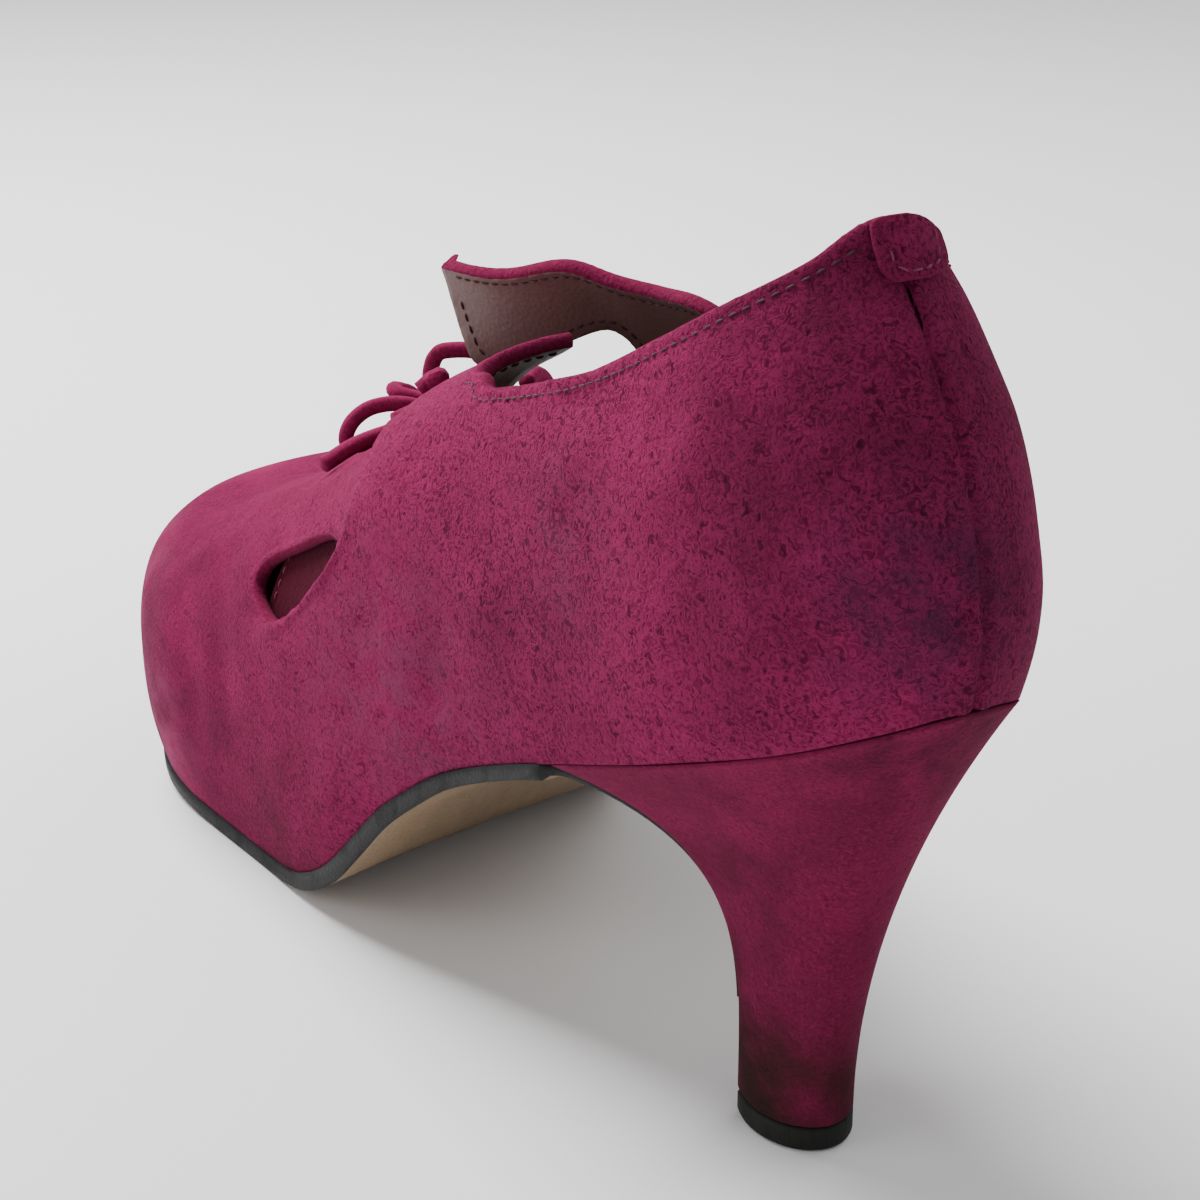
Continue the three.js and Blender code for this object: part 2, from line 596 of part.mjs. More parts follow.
// Outsole: a ribbon from the toe along the sole line, over the breast and down the heel's front.
const SOLE_EDGE = 0.2; // how far its edge stands out of the upper's
const FLAP_END = 0.3; // how far up the heel's front the flap ends
function outsoleSolid() {
  const stations = [];
  const front = BREAST + 3.5;
  const steps = 46;
  for (let k = 0; k <= steps; k++) {
    const part = k / steps;
    const x = front + (SOLE_TIP - 0.6 - front) * (1 - part ** 1.6);
    const nose = smooth((SOLE_TIP - x) / 6);
    const y = [soleEdge(x, true) - SOLE_EDGE * nose, soleEdge(x, false) + SOLE_EDGE * nose];
    const z = [sideTop(x, true) - CLEAR, sideTop(x, false) - CLEAR];
    stations.push({ x, z, y, thick: SOLE - 0.7 * smooth((share(front + 60) - share(x)) / 0.2) });
  }
  const heelFront = (up) => {
    const [x, outer, z] = heelPoint(CORNER, up);
    return { x: x + CLEAR, z: [z, z], y: [heelPoint(-CORNER, up)[1], outer] };
  };
  // The bend between shank and flap.
  const [a, c] = [stations[stations.length - 1], heelFront(0.95)];
  const corner = { x: BREAST + CLEAR + 0.6, z: soleTop(BREAST) - CLEAR - 0.4 };
  const level = (k) => (stations[k].z[0] + stations[k].z[1]) / 2;
  for (const u of [0.3, 0.55, 0.8]) {
    const mix = (p, q, r) => p * (1 - u) ** 2 + q * 2 * u * (1 - u) + r * u * u;
    const y = a.y.map((v, side) => v + (c.y[side] - v) * u);
    const z = mix(a.z[0], corner.z, c.z[0]);
    stations.push({ x: mix(a.x, corner.x, c.x), z: [z, z], y, thick: 2 - 0.6 * u });
  }
  const flapSteps = 9;
  for (let k = 0; k <= flapSteps; k++) {
    const f = heelFront(0.95 + ((FLAP_END - 0.95) * k) / flapSteps);
    stations.push({ x: f.x, z: f.z, y: f.y, thick: FLAP_SOLE * (1 - (0.5 * k) / flapSteps) });
  }
  const rings = stations.map((s, k) => {
    const [m, n] = [Math.max(k - 1, 0), Math.min(k + 1, stations.length - 1)];
    const [run, rise] = [stations[n].x - stations[m].x, level(n) - level(m)];
    const length = Math.hypot(run, rise);
    const bevel = 0.4;
    const under = (side) => {
      if (k < steps && s.z[side] < (SOLE + CLEAR) * 1.02) return [s.x, Math.max(s.z[side] - SOLE, 0)];
      return [s.x - (rise / length) * s.thick, Math.max(s.z[side] + (run / length) * s.thick, 0)];
    };
    const [inner, outer] = [under(0), under(1)];
    return [
      [s.x, s.y[1], s.z[1]],
      [outer[0], s.y[1] - bevel, outer[1]],
      [inner[0], s.y[0] + bevel, inner[1]],
      [s.x, s.y[0], s.z[0]],
    ];
  });
  return loft(rings);
}

// Insole: inside the upper, on the sole and the heel's seat.
const SEAT_GAP = 0.5;
function insoleSolid() {
  const inset = WALL + 0.9;
  const [start, end] = [heelCurveX(soleTop(-HEEL_REACH + 1)) + inset, SOLE_TIP - inset - 1];
  const steps = 44;
  const rings = [];
  for (let k = 0; k <= steps; k++) {
    const s = k / steps;
    const x = start + (end - start) * (0.08 * (1 - (1 - Math.min(s * 5, 1)) ** 2) + 0.92 * s ** 1.02);
    const slope = (edge) => Math.abs(soleEdge(x + 0.5, edge) - soleEdge(x - 0.5, edge));
    const y = [true, false].map((edge) => {
      const pull = Math.min(inset * Math.hypot(1, slope(edge)), Math.abs(soleEdge(x, edge)) - 0.6);
      return soleEdge(x, edge) + (edge ? pull : -pull);
    });
    const z = y.map((v) => soleLevel(x, v) + SEAT_GAP);
    rings.push([
      [x, y[1], z[1]],
      [x, y[1], z[1] + INSOLE],
      [x, y[0], z[0] + INSOLE],
      [x, y[0], z[0]],
    ]);
  }
  return loft(rings);
}

// Cord: a tube along a smooth path.
const CORD_SIDES = 8;
function tube(path, radius) {
  const curve = new THREE.CatmullRomCurve3(path.map((p) => new THREE.Vector3(...p)));
  const shape = new THREE.Shape();
  for (let k = 0; k < CORD_SIDES; k++) {
    const angle = (2 * Math.PI * k) / CORD_SIDES;
    shape[k ? "lineTo" : "moveTo"](radius * Math.cos(angle), radius * Math.sin(angle));
  }
  const steps = Math.max(4, Math.round(curve.getLength() / (2.2 * radius * 2)));
  const g = new THREE.ExtrudeGeometry(shape, { steps, extrudePath: curve, curveSegments: 1 });
  g.deleteAttribute("normal");
  g.deleteAttribute("uv");
  return mergeVertices(g, 1e-3);
}

const shoe = new THREE.Group();
const finish = (color, roughness) => new THREE.MeshStandardMaterial({ color, roughness, metalness: 0 });
const suede = finish(0x9c2f62, 0.95);
const leather = finish(0x8b7268, 0.6);
function add(name, geometry, material) {
  geometry.translate(0, TIP_SIDE, 0);
  const mesh = new THREE.Mesh(geometry, material);
  mesh.name = name;
  shoe.add(mesh);
}

const whole = { from: 0, to: 1, top: 0, surface: upperPoint };
add("upper", wall({ ...whole, along: 42, round: 17, keep: upperKeeps, off: 0, thickness: WALL }), suede);

// Tongue: under the laced opening, between the two sides.
const TONGUE = { from: 0.57, to: 0.735, spread: 30, thickness: 1.3 };
const tongueKeeps = (x, lean) => {
  const [start, end] = [standX(TONGUE.from), standX(TONGUE.to)];
  const corner = 6;
  const dx = Math.max(start + corner - x, x - end + corner, 0);
  const dy = Math.max(Math.abs(lean) - TONGUE.spread + corner, 0);
  return corner - Math.hypot(dx, dy);
};
add(
  "tongue",
  wall({
    along: 12, round: 12, from: 0.53, to: 0.77, top: 0,
    surface: lastPoint, keep: tongueKeeps, off: -(WALL + CLEAR), thickness: TONGUE.thickness,
  }),
  suede,
);

// Side flap: lies inside the upper and shows through the outer cut-out.
const FLAP = { from: 0.49, to: 0.66, top: 0.65, foot: 0.44, thickness: 1.3, corner: 5 };
const flapKeeps = (x, lean, innerSide) => {
  if (innerSide) return -FLAP.corner;
  const z = lastPoint(x, lean).z;
  const [start, end] = [standX(FLAP.from), standX(FLAP.to)];
  const [foot, head] = [FLAP.foot * INSTEP_HEIGHT, FLAP.top * INSTEP_HEIGHT];
  const dx = Math.max(start + FLAP.corner - x, x - end + FLAP.corner, 0);
  const dz = Math.max(z - head + FLAP.corner, foot + FLAP.corner - z, 0);
  return FLAP.corner - Math.hypot(dx, dz);
};
add(
  "side_flap",
  wall({
    along: 14, round: 14, from: 0.45, to: 0.68, top: 0.25,
    surface: lastPoint, keep: flapKeeps, off: -(WALL + CLEAR), thickness: FLAP.thickness,
  }),
  suede,
);

// Back tab: stitched over the back seam at the collar.
const TAB = { outer: 3, inner: 8, height: 7.5, corner: 2 };
const tabKeeps = (x, lean, innerSide) => {
  const p = lastPoint(x, lean);
  const dy = Math.max(p.y - TAB.outer + TAB.corner, TAB.corner - TAB.inner - p.y, 0);
  const dz = Math.max(COLLAR_HEIGHT - TAB.height + TAB.corner - p.z, 0);
  return Math.min(TAB.corner - Math.hypot(dy, dz), upperKeeps(x, lean, innerSide) - 0.3);
};
add(
  "back_tab",
  wall({
    along: 16, round: 28, from: 0, to: 0.34, top: 0.25,
    surface: lastPoint, keep: tabKeeps, off: CLEAR + PATCH, thickness: PATCH,
  }),
  suede,
);
add("outsole", outsoleSolid(), finish(0x3a3632, 0.6));
add("heel", heelSolid(), suede);
add("top_lift", topLiftSolid(), finish(0x1c1c19, 0.7));
add("insole", insoleSolid(), leather);

// A place over the last: at along, lean round, height out of the surface.
function over([at, lean, height]) {
  const x = standX(at);
  const step = 0.5;
  const v = ({ x: px, y, z }) => new THREE.Vector3(px, y, z);
  const along = v(lastPoint(x + step, lean)).sub(v(lastPoint(x - step, lean)));
  const side = lean < 0 ? -1 : 1;
  const round = v(lastPoint(x, lean + side * step)).sub(v(lastPoint(x, lean))).multiplyScalar(side);
  const out = along.cross(round).normalize();
  return v(lastPoint(x, lean)).addScaledVector(out, height).toArray();
}
const LOW = CORD / 2 + CLEAR + 0.3;
// Bows. Rows of at, lean and height over the last.
const BOWS = {
  front_bow: {
    bar: [
      [0.67, -26, LOW], [0.674, -16, LOW], [0.676, -7, LOW], [0.676, 0, LOW],
      [0.676, 7, LOW], [0.674, 16, LOW], [0.67, 26, LOW],
    ],
    knot: [
      [0.664, -6, 4.9], [0.672, -7, 5.8], [0.683, -7, 5.8], [0.689, -6.5, 4.9],
    ],
    loop_a: [
      [0.688, -2, 4.8], [0.69, 1, 6.4], [0.694, 4, 7.2], [0.699, 7.5, 7.2],
      [0.705, 11, 5.8], [0.711, 12.5, 3.6], [0.714, 10.5, 2.3], [0.708, 6, 2.3],
      [0.7, 1.5, 2.4], [0.692, -2.5, 2.4],
    ],
    loop_b: [
      [0.699, -7, 4.6], [0.704, -3, 7], [0.71, 0, 9], [0.719, 0, 10.2],
      [0.73, -2.5, 10], [0.738, -6, 8], [0.737, -9.5, 5], [0.726, -11.5, 2.8],
      [0.712, -11, 2.7], [0.701, -10, 2.9],
    ],
  },
  upper_bow: {
    bar: [[0.6, -7, LOW], [0.6, 0, LOW], [0.6, 8, LOW], [0.598, 16, LOW]],
    knot: [
      [0.59, 5, 4.9], [0.597, 4, 5.8], [0.607, 4, 5.8], [0.612, 6, 4.9],
    ],
    loop_a: [
      [0.606, -9, 7.4], [0.609, -5, 9.6], [0.616, -1.5, 10.8], [0.622, 0.3, 11],
      [0.6295, 1, 9.5], [0.6355, 1.2, 6.9], [0.638, 0.2, 4.4], [0.635, -3, 3],
      [0.626, -7.5, 2.7], [0.616, -11, 2.8],
    ],
    loop_b: [
      [0.612, -15, 4.6], [0.62, -18, 7], [0.632, -22, 7.4], [0.643, -27, 5.4],
      [0.645, -30, 3.2], [0.638, -28, 2.7], [0.626, -22, 2.7], [0.614, -17, 2.6],
    ],
  },
};
const lace = finish(0xa8346a, 0.9);
for (const [bow, parts] of Object.entries(BOWS)) {
  for (const [name, path] of Object.entries(parts)) {
    add(`${bow}_${name}`, tube(path.map(over), CORD / 2), lace);
  }
}

export default shoe;
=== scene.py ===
"""Dresses a left high heel shoe: suede upper with side cut-outs, cord bows, covered heel and leather sole."""
import logging
import math
from collections.abc import Callable, Sequence
from dataclasses import dataclass, field
from enum import Enum

import bpy
import numpy as np
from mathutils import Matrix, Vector


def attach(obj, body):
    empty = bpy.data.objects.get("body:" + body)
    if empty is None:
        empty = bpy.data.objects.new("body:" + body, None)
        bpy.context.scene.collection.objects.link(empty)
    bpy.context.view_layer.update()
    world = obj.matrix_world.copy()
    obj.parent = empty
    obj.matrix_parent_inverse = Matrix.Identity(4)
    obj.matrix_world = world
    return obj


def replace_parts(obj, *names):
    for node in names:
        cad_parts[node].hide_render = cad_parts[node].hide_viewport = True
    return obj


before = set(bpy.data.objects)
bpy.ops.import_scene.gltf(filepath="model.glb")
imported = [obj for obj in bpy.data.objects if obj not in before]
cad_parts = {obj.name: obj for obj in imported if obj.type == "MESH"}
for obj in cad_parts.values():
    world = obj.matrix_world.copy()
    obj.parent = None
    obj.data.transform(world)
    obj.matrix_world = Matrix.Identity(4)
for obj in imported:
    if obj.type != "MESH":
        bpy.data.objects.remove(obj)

LOG = logging.getLogger("shoe")
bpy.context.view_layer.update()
MM = 0.001
Array = np.ndarray
Colour = tuple[float, float, float]


class Face(Enum):
    """What a face of a wall shows, with its material's place."""

    OUTSIDE = 0
    LINING = 1
    RIM = 2


class Curves:
    """Smooth curves through the columns of a table, read at its first column."""

    def __init__(self, columns: str, rows: Sequence[Sequence[float]]) -> None:
        """Keeps the table.

        Args:
            columns: Names of the columns, the key first.
            rows: The table's rows.
        """
        self.names = columns.split()
        self.rows = np.array(rows, float)

    def read(self, name: str, at: Array) -> Array:
        """Reads a column.

        Args:
            name: The column.
            at: Where on the key column.

        Returns:
            The values there.
        """
        key, value = self.rows[:, 0], self.rows[:, self.names.index(name)]
        last = len(key) - 1
        before, after = np.maximum(np.arange(last + 1) - 1, 0), np.minimum(np.arange(last + 1) + 1, last)
        slope = (value[after] - value[before]) / (key[after] - key[before])
        at = np.clip(np.asarray(at, float), key[0], key[-1])
        k = np.clip(np.searchsorted(key, at) - 1, 0, last - 1)
        span = key[k + 1] - key[k]
        u = (at - key[k]) / span
        start = value[k] * (1 + 2 * u) * (1 - u) ** 2 + slope[k] * span * u * (1 - u) ** 2
        return start + value[k + 1] * u * u * (3 - 2 * u) + slope[k + 1] * span * u * u * (u - 1)


def smooth(v: Array) -> Array:
    """Eases from 0 to 1."""
    v = np.clip(v, 0, 1)
    return v * v * (3 - 2 * v)


def bell(distance: Array, width: float) -> Array:
    """A soft ridge of the given half width, 1 at its top."""
    return np.exp(-((distance / width) ** 2))


SECTIONS = Curves(
    "at seat outer inner collar instep toe wide fullness swing",
    (
        (0.0, 0.49, 0.0, 0.0, 1.19, 0, 0, 0.1, 2.1, 0),
        (0.115, 0.5, 0.0, 0.0, 1.1, 0, 0, 0.105, 2.2, 0),
        (0.247, 0.36, 0.107, 0.09, 0.66, 0.388, 0, 0.135, 2.3, 0),
        (0.379, 0.18, 0.25, 0.213, 0.25, 0.775, 0, 0.145, 2.5, 0),
        (0.449, 0.08, 0.345, 0.3, 0, 1, 0, 0.155, 2.7, 0),
        (0.511, 0, 0.425, 0.395, 0, 0.925, 0, 0.17, 2.6, 0),
        (0.577, 0, 0.447, 0.43, 0, 0.82, 0, 0.185, 2.5, -0.002),
        (0.652, 0, 0.465, 0.47, 0, 0.725, 0, 0.2, 2.4, -0.01),
        (0.731, 0, 0.503, 0.472, 0, 0.3, 0.623, 0.205, 2.4, -0.025),
        (0.82, 0, 0.558, 0.447, 0, 0, 1.035, 0.2, 2.5, -0.05),
        (0.92, 0, 0.57, 0.43, 0, 0, 1.03, 0.195, 2.6, -0.075),
        (1.0, 0, 0.565, 0.425, 0, 0, 1.01, 0.19, 2.6, -0.085),
    ),
)
SOLE_LINE = Curves(
    "at heel sole spring",
    (
        (0.0, 1.005, 0, 0), (0.026, 0.962, 0, 0), (0.07, 0.9, 0, 0), (0.13, 0.83, 0, 0),
        (0.198, 0.752, 0, 0), (0.277, 0.665, 0, 0), (0.335, 0.6, 0, 0), (0.405, 0.505, 0, 0),
        (0.445, 0.427, 0, 0), (0.48, 0.335, 0.3, 0), (0.515, 0.22, 0.6, 0), (0.555, 0.1, 0.85, 0),
        (0.6, 0.02, 1, 0), (0.635, 0, 1, 0), (0.75, 0, 1, 0), (0.85, 0, 1, 0.3),
        (1.0, 0, 1, 1.15),
    ),
)
HEEL_PROFILE = Curves(
    "up fore",
    (
        (-0.6, 0.2), (0.0, 0.03), (0.17, 0.0), (0.3, 0.035), (0.42, 0.085),
        (0.54, 0.16), (0.65, 0.265), (0.77, 0.385), (0.88, 0.52), (1.0, 0.61),
        (1.35, 0.8),
    ),
)
STRAP_STAND = Curves(
    "at lift pull",
    (
        (0.37, 0.0, 0.0), (0.436, 0.1, 0.0), (0.476, 0.135, 0.05), (0.507, 0.17, 0.15),
        (0.555, 0.205, 0.45), (0.59, 0.235, 0.68), (0.627, 0.26, 0.85), (0.63, 0.26, 0.85),
        (0.65, 0.0, 0.0),
    ),
)


@dataclass
class Last:
    """The form that the shoe is built on. Sizes are in millimetres."""

    length: float = 227
    heel_reach: float = 37.5
    ball_width: float = 80
    seat_width: float = 50
    heel_height: float = 81
    collar_height: float = 138
    instep_height: float = 103
    toe_height: float = 55
    toe_spring: float = 6
    heel_curve: float = 38
    sole: float = 3.2
    clear: float = 0.3
    tip_side: float = 1.9
    ball_angle: float = 13
    toe_start: float = 0.73
    toe_power: float = 2.5
    toe_level: float = 0.5
    lower_fullness: float = 2.5
    tuck: float = 1.15
    strap_from: float = 25

    @property
    def tip_x(self) -> float:
        """Where the toe ends."""
        return self.length - self.heel_reach

    def share(self, x: Array) -> Array:
        """Share of the length at x."""
        return (x + self.heel_reach) / self.length

    def stand(self, at: Array) -> Array:
        """Place along the shoe of a share of its length."""
        return np.asarray(at) * self.length - self.heel_reach

    def sole_top(self, x: Array) -> Array:
        """Height of the sole's upper face on the outer side."""
        at = self.share(x)
        heel = SOLE_LINE.read("heel", at) * self.heel_height
        sole = SOLE_LINE.read("sole", at) * (self.sole + self.clear)
        return heel + sole + SOLE_LINE.read("spring", at) * self.toe_spring

    def side_top(self, x: Array, inner: Array) -> Array:
        """Height of the sole's upper face, which bends later on the inner side."""
        at = self.share(x)
        shift = self.ball_angle * smooth((at - 0.3) / 0.2) * (1 - smooth((at - 0.66) / 0.2))
        return self.sole_top(np.where(inner, x - shift, x))

    def heel_curve_x(self, z: Array) -> Array:
        """The back of the shoe at a height."""
        up = (z - self.heel_height) / (self.collar_height - self.heel_height)
        return self.heel_reach * (HEEL_PROFILE.read("fore", up) - 1)

    def section(self, x: Array, inner: Array) -> dict[str, Array]:
        """The section's half widths and levels at x."""
        at = self.share(x)
        along = np.clip((at - self.toe_start) / (1 - self.toe_start), 0, 1)
        shrink = (1 - along**self.toe_power) ** (1 / self.toe_power)
        level = self.toe_height * self.toe_level
        seat = SECTIONS.read("seat", at) * self.seat_width
        ridge = (
            SECTIONS.read("collar", at) * self.collar_height
            + SECTIONS.read("instep", at) * self.instep_height
            + SECTIONS.read("toe", at) * self.toe_height
        )
        over = SECTIONS.read("wide", at) * self.instep_height
        wide = self.side_top(x, inner) + over
        half = np.where(inner, SECTIONS.read("inner", at), SECTIONS.read("outer", at))
        return {
            "half": (seat + half * self.ball_width) * shrink,
            "middle": SECTIONS.read("swing", at) * self.ball_width,
            "ridge": level + (ridge - level) * shrink,
            "wide": level + (wide - level) * shrink,
            "low": level + (wide - over * (1 + self.tuck) - level) * shrink,
            "power": SECTIONS.read("fullness", at),
        }

    def sole_lean(self, x: Array, inner: Array) -> Array:
        """How far round the section the sole's edge lies, in degrees from the ridge."""
        s = self.section(x, inner)
        part = np.clip((s["wide"] - self.side_top(x, inner)) / np.maximum(s["wide"] - s["low"], 1e-6), 0, 1)
        return 90 + np.degrees(np.arcsin(part ** (self.lower_fullness / 2)))

    def lean_at(self, x: Array, z: Array, inner: bool = False) -> Array:
        """How far round the section a height lies, in degrees from the ridge."""
        s = self.section(x, np.asarray(inner))
        part = np.clip((z - s["wide"]) / (s["ridge"] - s["wide"]), 0, 1)
        return 90 - np.degrees(np.arcsin(part ** (s["power"] / 2)))

    def point(self, x: Array, lean: Array) -> Array:
        """Points of the last.

        Args:
            x: Places along the shoe.
            lean: Degrees round the section, below zero on the inner side.

        Returns:
            Rows of x, y, z.
        """
        x, lean = np.broadcast_arrays(np.asarray(x, float), np.asarray(lean, float))
        s = self.section(x, lean < 0)
        angle = np.radians(90 - np.abs(lean))
        power = np.where(angle >= 0, 2 / s["power"], 2 / self.lower_fullness)
        reach = np.maximum(np.cos(angle), 0) ** power
        rise = np.maximum(np.sin(np.abs(angle)), 0) ** power
        height = np.where(angle >= 0, s["ridge"] - s["wide"], s["low"] - s["wide"])
        z = s["wide"] + height * rise
        back = np.clip((x - self.heel_curve_x(z)) / self.heel_curve, 0, 1)
        close = np.sqrt(1 - (1 - back) ** 2)
        y = s["middle"] + np.where(lean < 0, -1, 1) * s["half"] * reach * close
        return np.stack([x, y + self.tip_side, z], -1)

    def upper_point(self, x: Array, lean: Array, inner: bool) -> Array:
        """Points of the upper: the last with the inner strap stood up off it."""
        p = self.point(x, lean)
        if inner:
            over = np.clip((90 - np.abs(lean) - self.strap_from) / (90 - self.strap_from), 0, 1)
            at = self.share(x)
            p[..., 2] += STRAP_STAND.read("lift", at) * self.instep_height * over**0.9
            pull = 1 - STRAP_STAND.read("pull", at) * smooth(over / 0.54)
            p[..., 1] = self.tip_side + (p[..., 1] - self.tip_side) * pull
        return p

    def sole_edge(self, x: Array, inner: bool) -> Array:
        """Sideways place of the upper's edge at the sole."""
        side = np.full(np.shape(x), inner)
        return self.point(x, self.sole_lean(np.asarray(x, float), side) * (-1 if inner else 1))[..., 1]

    def over(self, row: Sequence[float]) -> Array:
        """A place over the last, from a row of share along, lean and height out of the surface."""
        at, lean, height = row
        x, step = self.stand(at), 0.5
        side = -1 if lean < 0 else 1
        along = self.point(x + step, lean) - self.point(x - step, lean)
        round_ = (self.point(x, lean + side * step) - self.point(x, lean)) * side
        out = np.cross(along, round_)
        return self.point(x, lean) + out / np.linalg.norm(out) * height


LAST = Last()
ROUND = 0.95  # millimetres of wall for a degree of lean
HEEL_PART, TOE_PART = 0.13, 0.2


def spacing(s: Array) -> Array:
    """Steps along the shoe, closer together at the heel curve and the toe."""
    pace = 1 + HEEL_PART + TOE_PART
    first, last = 2 * HEEL_PART / pace, 1 - 2 * TOE_PART / pace
    middle = HEEL_PART + pace * (s - first)
    toe = 1 - TOE_PART * ((1 - s) / (1 - last)) ** 2
    return np.where(s < first, HEEL_PART * (s / first) ** 2, np.where(s > last, toe, middle))


def grid_place(s: Array, t: Array, inner: bool) -> tuple[Array, Array]:
    """Place and lean of grid points, s along the shoe and t from the ridge to the sole's edge."""
    x = LAST.stand(spacing(s))
    side = np.full(np.shape(x), inner)
    lean = np.zeros_like(x)
    for _ in range(6):
        lean = t * LAST.sole_lean(x, side) * (-1 if inner else 1)
        back = LAST.heel_curve_x(LAST.point(x, lean)[..., 2])
        x = back + (LAST.tip_x - back) * spacing(s)
    return x, lean


def eased(points: Sequence[Sequence[float]], per: int = 7) -> Array:
    """A smooth line through points, with per steps between each two."""
    p = np.array(points, float)
    p = np.vstack([2 * p[0] - p[1], p, 2 * p[-1] - p[-2]])
    rows = []
    for a, b, c, d in zip(p, p[1:], p[2:], p[3:]):
        knots = [0.0]
        for m, n in ((a, b), (b, c), (c, d)):
            knots.append(knots[-1] + max(np.linalg.norm(n - m), 1e-4) ** 0.5)
        t0, t1, t2, t3 = knots
        for u in np.linspace(t1, t2, per, endpoint=False):
            a1 = (t1 - u) / (t1 - t0) * a + (u - t0) / (t1 - t0) * b
            a2 = (t2 - u) / (t2 - t1) * b + (u - t1) / (t2 - t1) * c
            a3 = (t3 - u) / (t3 - t2) * c + (u - t2) / (t3 - t2) * d
            b1 = (t2 - u) / (t2 - t0) * a1 + (u - t0) / (t2 - t0) * a2
            b2 = (t3 - u) / (t3 - t1) * a2 + (u - t1) / (t3 - t1) * a3
            rows.append((t2 - u) / (t2 - t1) * b1 + (u - t1) / (t2 - t1) * b2)
    return np.vstack([*rows, p[-2]])


COLLAR_LINE = (
    (0.06, 1.08, 1.08), (0.098, 1.0, 1.0), (0.115, 0.9, 0.9), (0.158, 0.77, 0.775),
    (0.22, 0.62, 0.64), (0.29, 0.488, 0.54), (0.352, 0.4, 0.485), (0.39, 0.355, 0.465),
)
STRAP_TOP = ((0.436, -24), (0.476, -16), (0.507, -11), (0.555, -7), (0.595, -3.5), (0.622, 0.5))
INNER_CUT = (
    (0.624, -12), (0.62, -24), (0.612, -31), (0.585, -33), (0.55, -32), (0.515, -33),
    (0.502, -40), (0.51, -50), (0.54, -59), (0.58, -66), (0.618, -68), (0.655, -65),
    (0.68, -55), (0.686, -42), (0.675, -26), (0.66, -12), (0.655, 0.5),
)
OUTER_TURN = ((0.451, 0.5), (0.452, 10), (0.45, 18), (0.442, 25), (0.428, 30.5), (0.41, 34.5))
OUTER_CUT = (
    (0.532, 0.672), (0.523, 0.664), (0.529, 0.631), (0.545, 0.592), (0.575, 0.531),
    (0.604, 0.486), (0.628, 0.468), (0.648, 0.473), (0.666, 0.492), (0.671, 0.513),
    (0.664, 0.542), (0.635, 0.58), (0.592, 0.63), (0.56, 0.66),
)


# The outer flap's front edge over the toe part: from its end by share and lean, then by share and height.
FLAP_FRONT = ((0.645, 0.5), (0.628, 9), (0.6, 18), (0.565, 26), (0.535, 32))
FLAP_EDGE = (
    (0.516, 0.76), (0.515, 0.73), (0.517, 0.698), (0.521, 0.664),
    (0.53, 0.631), (0.545, 0.592), (0.575, 0.531), (0.604, 0.486),
)


class Openings:
    """The upper's openings as outlines in its flat map: place along, and lean as a length."""

    def __init__(self) -> None:
        """Works the outlines out."""
        far = -2 * LAST.heel_reach
        outer_collar, inner_collar = self._collar(1, 1), self._collar(2, -1)
        edge = outer_collar[0][1]
        turn, strap, cut = (self._lean(rows) for rows in (OUTER_TURN[::-1], STRAP_TOP, INNER_CUT))
        self.outer_line = eased([*outer_collar, *turn])
        self.inner_line = eased([*inner_collar, *strap])
        self.strap_end = eased(cut)
        self.outer = np.vstack([[far, -9], [far, edge], self.outer_line, [turn[-1][0], -9]])
        strap_x, cut_x = strap[-1][0], cut[0][0]
        self.inner = np.vstack(
            [
                [far, 9],
                [far, -edge],
                self.inner_line,
                [strap_x, 9],
                [cut_x, 9],
                self.strap_end,
                [cut[-1][0], 9.2],
                [cut_x - 0.2, 9.2],
                [strap_x - 0.2, 9.2],
            ]
        )
        rows = [(LAST.stand(at), up * LAST.instep_height) for at, up in OUTER_CUT]
        ring = [(x, float(LAST.lean_at(np.array(x), z)) * ROUND) for x, z in rows]
        self.hole = eased([*ring, ring[0]])
        overlap = [(float(LAST.stand(at)), lean * ROUND) for at, lean in FLAP_FRONT]
        cut_out = [(LAST.stand(at), up * LAST.instep_height) for at, up in FLAP_EDGE]
        overlap += [(x, float(LAST.lean_at(np.array(x), z)) * ROUND) for x, z in cut_out]
        self.overlap = eased(overlap)
        ahead, low = 2 * LAST.length, self.overlap[-1][1]
        self.toe_part = np.vstack([[overlap[0][0], -9], self.overlap, [ahead, low], [ahead, -9]])

    @staticmethod
    def _lean(rows: Sequence[Sequence[float]]) -> list[tuple[float, float]]:
        """Map places of rows of share along and lean."""
        return [(float(LAST.stand(at)), lean * ROUND) for at, lean in rows]

    @staticmethod
    def _collar(column: int, sign: int) -> list[tuple[float, float]]:
        """Map places of the collar on one side."""
        rise = LAST.collar_height - LAST.heel_height
        rows = [(LAST.stand(row[0]), LAST.heel_height + row[column] * rise) for row in COLLAR_LINE]
        return [(x, sign * float(LAST.lean_at(np.array(x), z, sign < 0)) * ROUND) for x, z in rows]

    def keep(self, x: Array, lean: Array, inner: bool) -> Array:
        """How far inside the leather a place lies, below zero in an opening."""
        at = np.stack([x, lean * ROUND], -1)
        if inner:
            return outside(self.inner, at)
        return np.minimum(outside(self.outer, at), outside(self.hole, at))


def outside(outline: Array, at: Array) -> Array:
    """Signed distance of places to a closed outline, above zero outside it."""
    px, py = at[..., 0], at[..., 1]
    nearest = np.full(px.shape, np.inf)
    within = np.zeros(px.shape, bool)
    for (ax, ay), (bx, by) in zip(outline, np.roll(outline, -1, 0)):
        dx, dy = bx - ax, by - ay
        length = dx * dx + dy * dy
        if length < 1e-12:
            continue
        u = np.clip(((px - ax) * dx + (py - ay) * dy) / length, 0, 1)
        nearest = np.minimum(nearest, np.hypot(px - ax - u * dx, py - ay - u * dy))
        if ay != by:
            crosses = ((ay > py) != (by > py)) & (px < dx * (py - ay) / dy + ax)
            within ^= crosses
    return np.where(within, -nearest, nearest)


